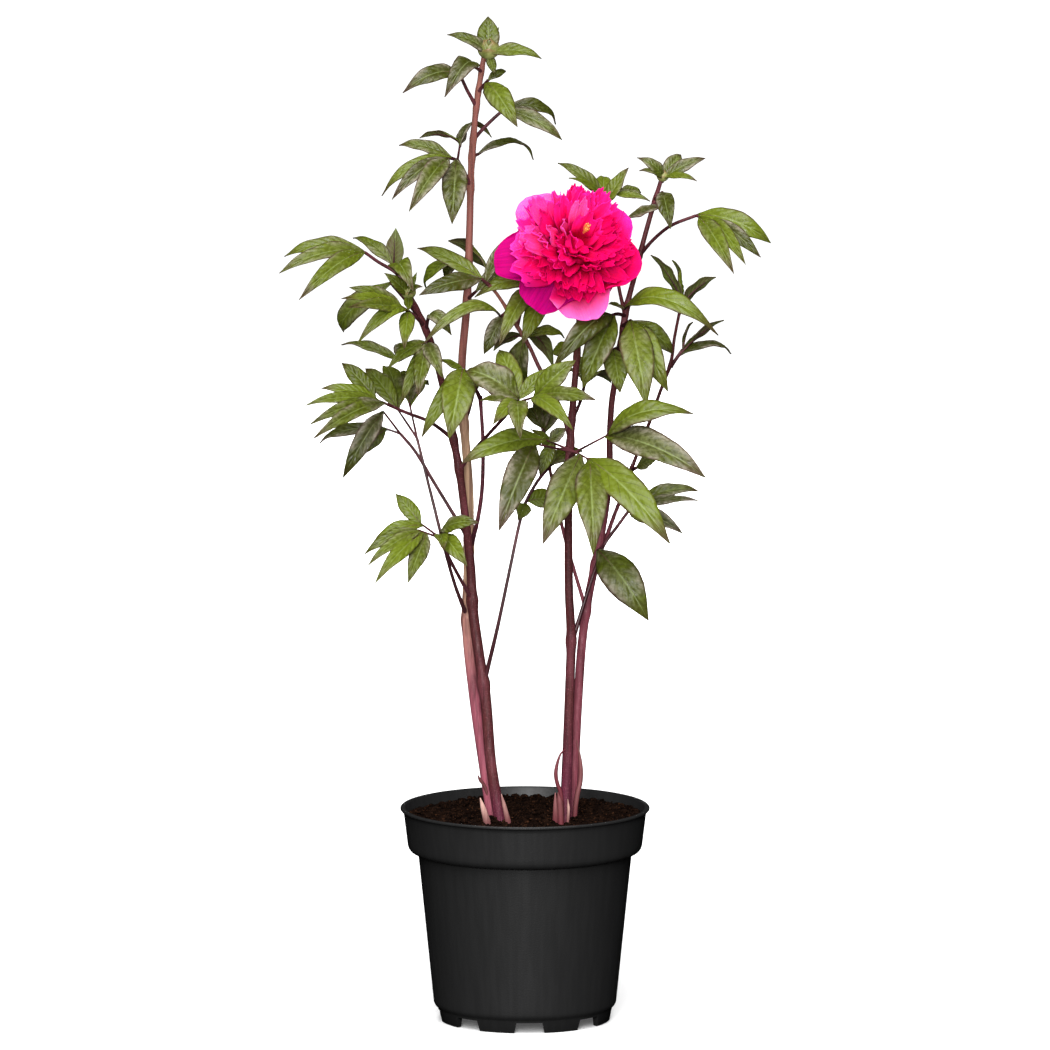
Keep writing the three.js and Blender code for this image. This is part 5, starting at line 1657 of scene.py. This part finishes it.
class FoliageSettings(bpy.types.PropertyGroup):
    """Sizes and colours of the leaves"""

    leaflet_width: FloatProperty(
        name="Leaflet width", description="Fullness of the leaflets", default=1.26, subtype="FACTOR")
    blade_thickness: FloatProperty(
        name="Blade thickness", description="Thickness of a leaflet", default=0.0005, unit="LENGTH")
    vein_relief: FloatProperty(
        name="Vein relief", description="How far the blade puffs between its veins", default=0.0005,
        unit="LENGTH")
    edge_wave: FloatProperty(
        name="Edge wave", description="Wave of a leaflet's edges, as a share of its width", default=0.06,
        subtype="FACTOR")
    deep_green: colour_of("Deep green", "Darker green of the leaves", (0.04, 0.046, 0.004))
    fresh_green: colour_of("Fresh green", "Brighter green of the leaves", (0.116, 0.153, 0.008))
    # Silver is partly painted sheen on the upper faces.
    silver: colour_of("Silver", "Silvery mauve patches", (0.25, 0.215, 0.165))
    bronze: colour_of("Bronze", "Bronze purple edges and tips", (0.06, 0.024, 0.017))
    vein: colour_of("Vein", "Pale veins", (0.27, 0.34, 0.12))
    under: colour_of("Underside", "Brownish part of the undersides", (0.075, 0.045, 0.025))
    under_green: colour_of("Green underside", "Greener part of the undersides", (0.085, 0.11, 0.018))
    stalk: colour_of("Stalk", "Dark purple of the leaf stalks", (0.04, 0.009, 0.012))
    stalk_pale: colour_of("Pale stalk", "Paler part of the leaf stalks", (0.13, 0.035, 0.045))


class StemSettings(bpy.types.PropertyGroup):
    """Colours of the stems"""

    foot: colour_of("Foot", "Stem colour at the soil", (0.1, 0.017, 0.036))
    plum: colour_of("Plum", "Dark stems", (0.076, 0.019, 0.019))
    brown: colour_of("Brown", "Upper tall stem", (0.28, 0.11, 0.08))
    tan: colour_of("Tan", "Bare middle of the tall stem", (0.6, 0.39, 0.24))
    rose: colour_of("Rose", "Pinkish stems", (0.25, 0.062, 0.085))
    pink: colour_of("Pink", "Pink flushes", (0.38, 0.1, 0.14))
    branch: colour_of("Branch", "Dark side branches", (0.07, 0.017, 0.025))
    streak: colour_of("Streak", "Dark streaks along the stems", (0.04, 0.01, 0.013))


class BloomSettings(bpy.types.PropertyGroup):
    """Sizes and colours of the bloom, the buds and the sheaths"""

    petal_thickness: FloatProperty(
        name="Petal thickness", description="Thickness of a petal", default=0.0004, unit="LENGTH")
    ruffle: FloatProperty(
        name="Ruffle", description="Ruffle of a petal, as a share of its width", default=0.12,
        subtype="FACTOR")
    # Deep red at the petals' feet is partly painted shade where they crowd.
    deep: colour_of("Deep", "Foot of the petals", (0.3, 0.0, 0.006))
    hot: colour_of("Hot pink", "Body of the petals", (0.74, 0.0, 0.085))
    magenta: colour_of("Magenta", "Darker outer petals", (0.43, 0.0, 0.14))
    purple: colour_of("Purple", "Veins of the darker petals", (0.25, 0.0, 0.1))
    # Pale pink at the petals' edges is partly painted highlight.
    pale: colour_of("Pale pink", "Edges of the petals", (0.95, 0.02, 0.37))
    # Lilac is partly painted highlight on the inner petals of the lit side.
    lilac: colour_of("Lilac", "Faded outer petals", (0.84, 0.15, 0.48))
    stamen: colour_of("Stamen", "Stamens", (0.85, 0.4, 0.08))
    stamen_dark: colour_of("Dark stamen", "Warmer stamens", (0.8, 0.2, 0.08))
    scale: colour_of("Scale", "Bud scales", (0.26, 0.28, 0.09))
    scale_dark: colour_of("Dark scale", "Darker bud scales", (0.12, 0.14, 0.03))
    flush: colour_of("Flush", "Red flush of the bud scales", (0.2, 0.05, 0.04))
    sheath_pink: colour_of("Sheath pink", "Foot of the dry sheaths", (0.13, 0.02, 0.03))
    sheath_cream: colour_of("Sheath cream", "Tip of the dry sheaths", (0.66, 0.4, 0.34))
    sheath_dark: colour_of("Sheath dark", "Streaks of the dry sheaths", (0.1, 0.02, 0.025))


class PotSettings(bpy.types.PropertyGroup):
    """Colours of the pot"""

    plastic: colour_of("Plastic", "Black plastic", (0.0118, 0.0118, 0.012))
    plastic_light: colour_of("Light plastic", "Streaks in the plastic", (0.0132, 0.0132, 0.0134))


class SoilSettings(bpy.types.PropertyGroup):
    """Crumbs and colours of the soil"""

    crumbs: IntProperty(name="Crumbs", description="Loose crumbs on the soil", default=1300, min=0)
    fibres: IntProperty(name="Fibres", description="Short fibres on the soil", default=160, min=0)
    dark: colour_of("Dark", "Dark peat", (0.003, 0.0013, 0.0009))
    light: colour_of("Light", "Lighter peat", (0.0095, 0.0042, 0.0024))
    speck: colour_of("Speck", "Light specks", (0.11, 0.045, 0.02))


class StageSettings(bpy.types.PropertyGroup):
    """Floor, light and camera"""

    distance: FloatProperty(name="Distance", description="Camera distance", default=12.0, unit="LENGTH")
    floor: colour_of("Floor", "Floor colour", (0.85, 0.85, 0.85))
    glow: FloatProperty(
        name="Glow", description="Glow of the floor, which softens the shadow", default=0.08, min=0)
    sun: FloatProperty(name="Overhead light", description="Strength of the wide overhead light", default=4.0)
    key: FloatProperty(name="Key light", description="Power of the key light", default=95.0, unit="POWER")
    back: FloatProperty(name="Back light", description="Power of the back light", default=110.0, unit="POWER")
    sky: FloatProperty(name="Sky", description="Strength of the white surroundings", default=0.3, min=0)


# Operators


class PEONY_OT_pot(bpy.types.Operator):
    """Make the nursery pot"""

    bl_idname = "peony.pot"
    bl_label = "Pot"

    def execute(self, context):
        pot_piece(pot_plastic(context.scene.peony_pot))
        return {"FINISHED"}


class PEONY_OT_soil(bpy.types.Operator):
    """Make the soil with its crumbs"""

    bl_idname = "peony.soil"
    bl_label = "Soil"

    def execute(self, context):
        look = context.scene.peony_soil
        soil_piece(look, peat(look))
        return {"FINISHED"}


class PEONY_OT_stems(bpy.types.Operator):
    """Make the stems with their branches"""

    bl_idname = "peony.stems"
    bl_label = "Stems"

    def execute(self, context):
        look = context.scene.peony_stem
        # Colours low, midway and high on each stem, and the heights in metres where one becomes the next
        spans = {
            "stem_tall": (look.pink, look.tan, look.brown, (0.24, 0.37), (0.46, 0.5)),
            "stem_left": (look.foot, look.plum, look.plum, (0.16, 0.2), (0.4, 0.5)),
            "stem_bloom": (look.foot, look.plum, look.brown, (0.17, 0.26), (0.5, 0.56)),
            "stem_right": (look.foot, look.rose, look.plum, (0.14, 0.2), (0.34, 0.44)),
        }
        for name, colours in spans.items():
            stem_piece(name, stem_skin(name, look, *colours))
        return {"FINISHED"}


class PEONY_OT_leaves(bpy.types.Operator):
    """Make every divided leaf on its stalk"""

    bl_idname = "peony.leaves"
    bl_label = "Leaves"

    def execute(self, context):
        look = context.scene.peony_foliage
        skins = leaf_skins(look)
        sheet = blank_sheet(*LEAFLET_GRID)
        for row in LEAVES:
            leaf_piece(row, look, sheet, skins)
        discard(sheet)
        return {"FINISHED"}


class PEONY_OT_buds(bpy.types.Operator):
    """Make the unopened buds with their bracts"""

    bl_idname = "peony.buds"
    bl_label = "Buds"

    def execute(self, context):
        skin = bud_skin(context.scene.peony_bloom)
        look = context.scene.peony_foliage
        for row in BUDS:
            bud_piece(row, look, skin, leaf_skins(look))
        return {"FINISHED"}


class PEONY_OT_bloom(bpy.types.Operator):
    """Make the double bloom with its heart, stamens and calyx"""

    bl_idname = "peony.bloom"
    bl_label = "Bloom"

    def execute(self, context):
        look = context.scene.peony_bloom
        foliage = context.scene.peony_foliage
        bloom_piece(look, petal_skin(look))
        stamens_piece(stamen_skin(look))
        sepals_piece(foliage, leaf_skins(foliage))
        return {"FINISHED"}


class PEONY_OT_sheaths(bpy.types.Operator):
    """Make the dry sheaths at the stems' feet"""

    bl_idname = "peony.sheaths"
    bl_label = "Sheaths"

    def execute(self, context):
        skin = dry_sheath(context.scene.peony_bloom)
        for row in SHEATHS:
            sheath_piece(row, skin)
        scales_piece(skin)
        return {"FINISHED"}


class PEONY_OT_stage(bpy.types.Operator):
    """Set up the floor, the soft light and the camera"""

    bl_idname = "peony.stage"
    bl_label = "Stage"

    def execute(self, context):
        look = context.scene.peony_stage
        make_floor(look)
        make_lights(look)
        make_camera(look)
        return {"FINISHED"}


STEPS = (
    PEONY_OT_pot, PEONY_OT_soil, PEONY_OT_stems, PEONY_OT_leaves,
    PEONY_OT_buds, PEONY_OT_bloom, PEONY_OT_sheaths, PEONY_OT_stage,
)


class PEONY_PT_panel(bpy.types.Panel):
    """Lists the pieces of the peony"""

    bl_label = "Potted Peony"
    bl_idname = "PEONY_PT_panel"
    bl_space_type = "VIEW_3D"
    bl_region_type = "UI"
    bl_category = "Peony"

    def draw(self, context):
        for step in STEPS:
            self.layout.operator(step.bl_idname)


SETTINGS = {
    "peony_foliage": FoliageSettings,
    "peony_stem": StemSettings,
    "peony_bloom": BloomSettings,
    "peony_pot": PotSettings,
    "peony_soil": SoilSettings,
    "peony_stage": StageSettings,
}


def register():
    """Makes the settings, the operators and the panel known."""
    for name, group in SETTINGS.items():
        bpy.utils.register_class(group)
        setattr(bpy.types.Scene, name, PointerProperty(type=group))
    for step in STEPS:
        bpy.utils.register_class(step)
    bpy.utils.register_class(PEONY_PT_panel)


def unregister():
    """Takes back what register did, in the opposite order."""
    bpy.utils.unregister_class(PEONY_PT_panel)
    for step in reversed(STEPS):
        bpy.utils.unregister_class(step)
    for name, group in SETTINGS.items():
        delattr(bpy.types.Scene, name)
        bpy.utils.unregister_class(group)


def main():
    """Builds every piece in order."""
    register()
    for step in STEPS:
        group, action = step.bl_idname.split(".")
        getattr(getattr(bpy.ops, group), action)()


if __name__ == "__main__":
    main()
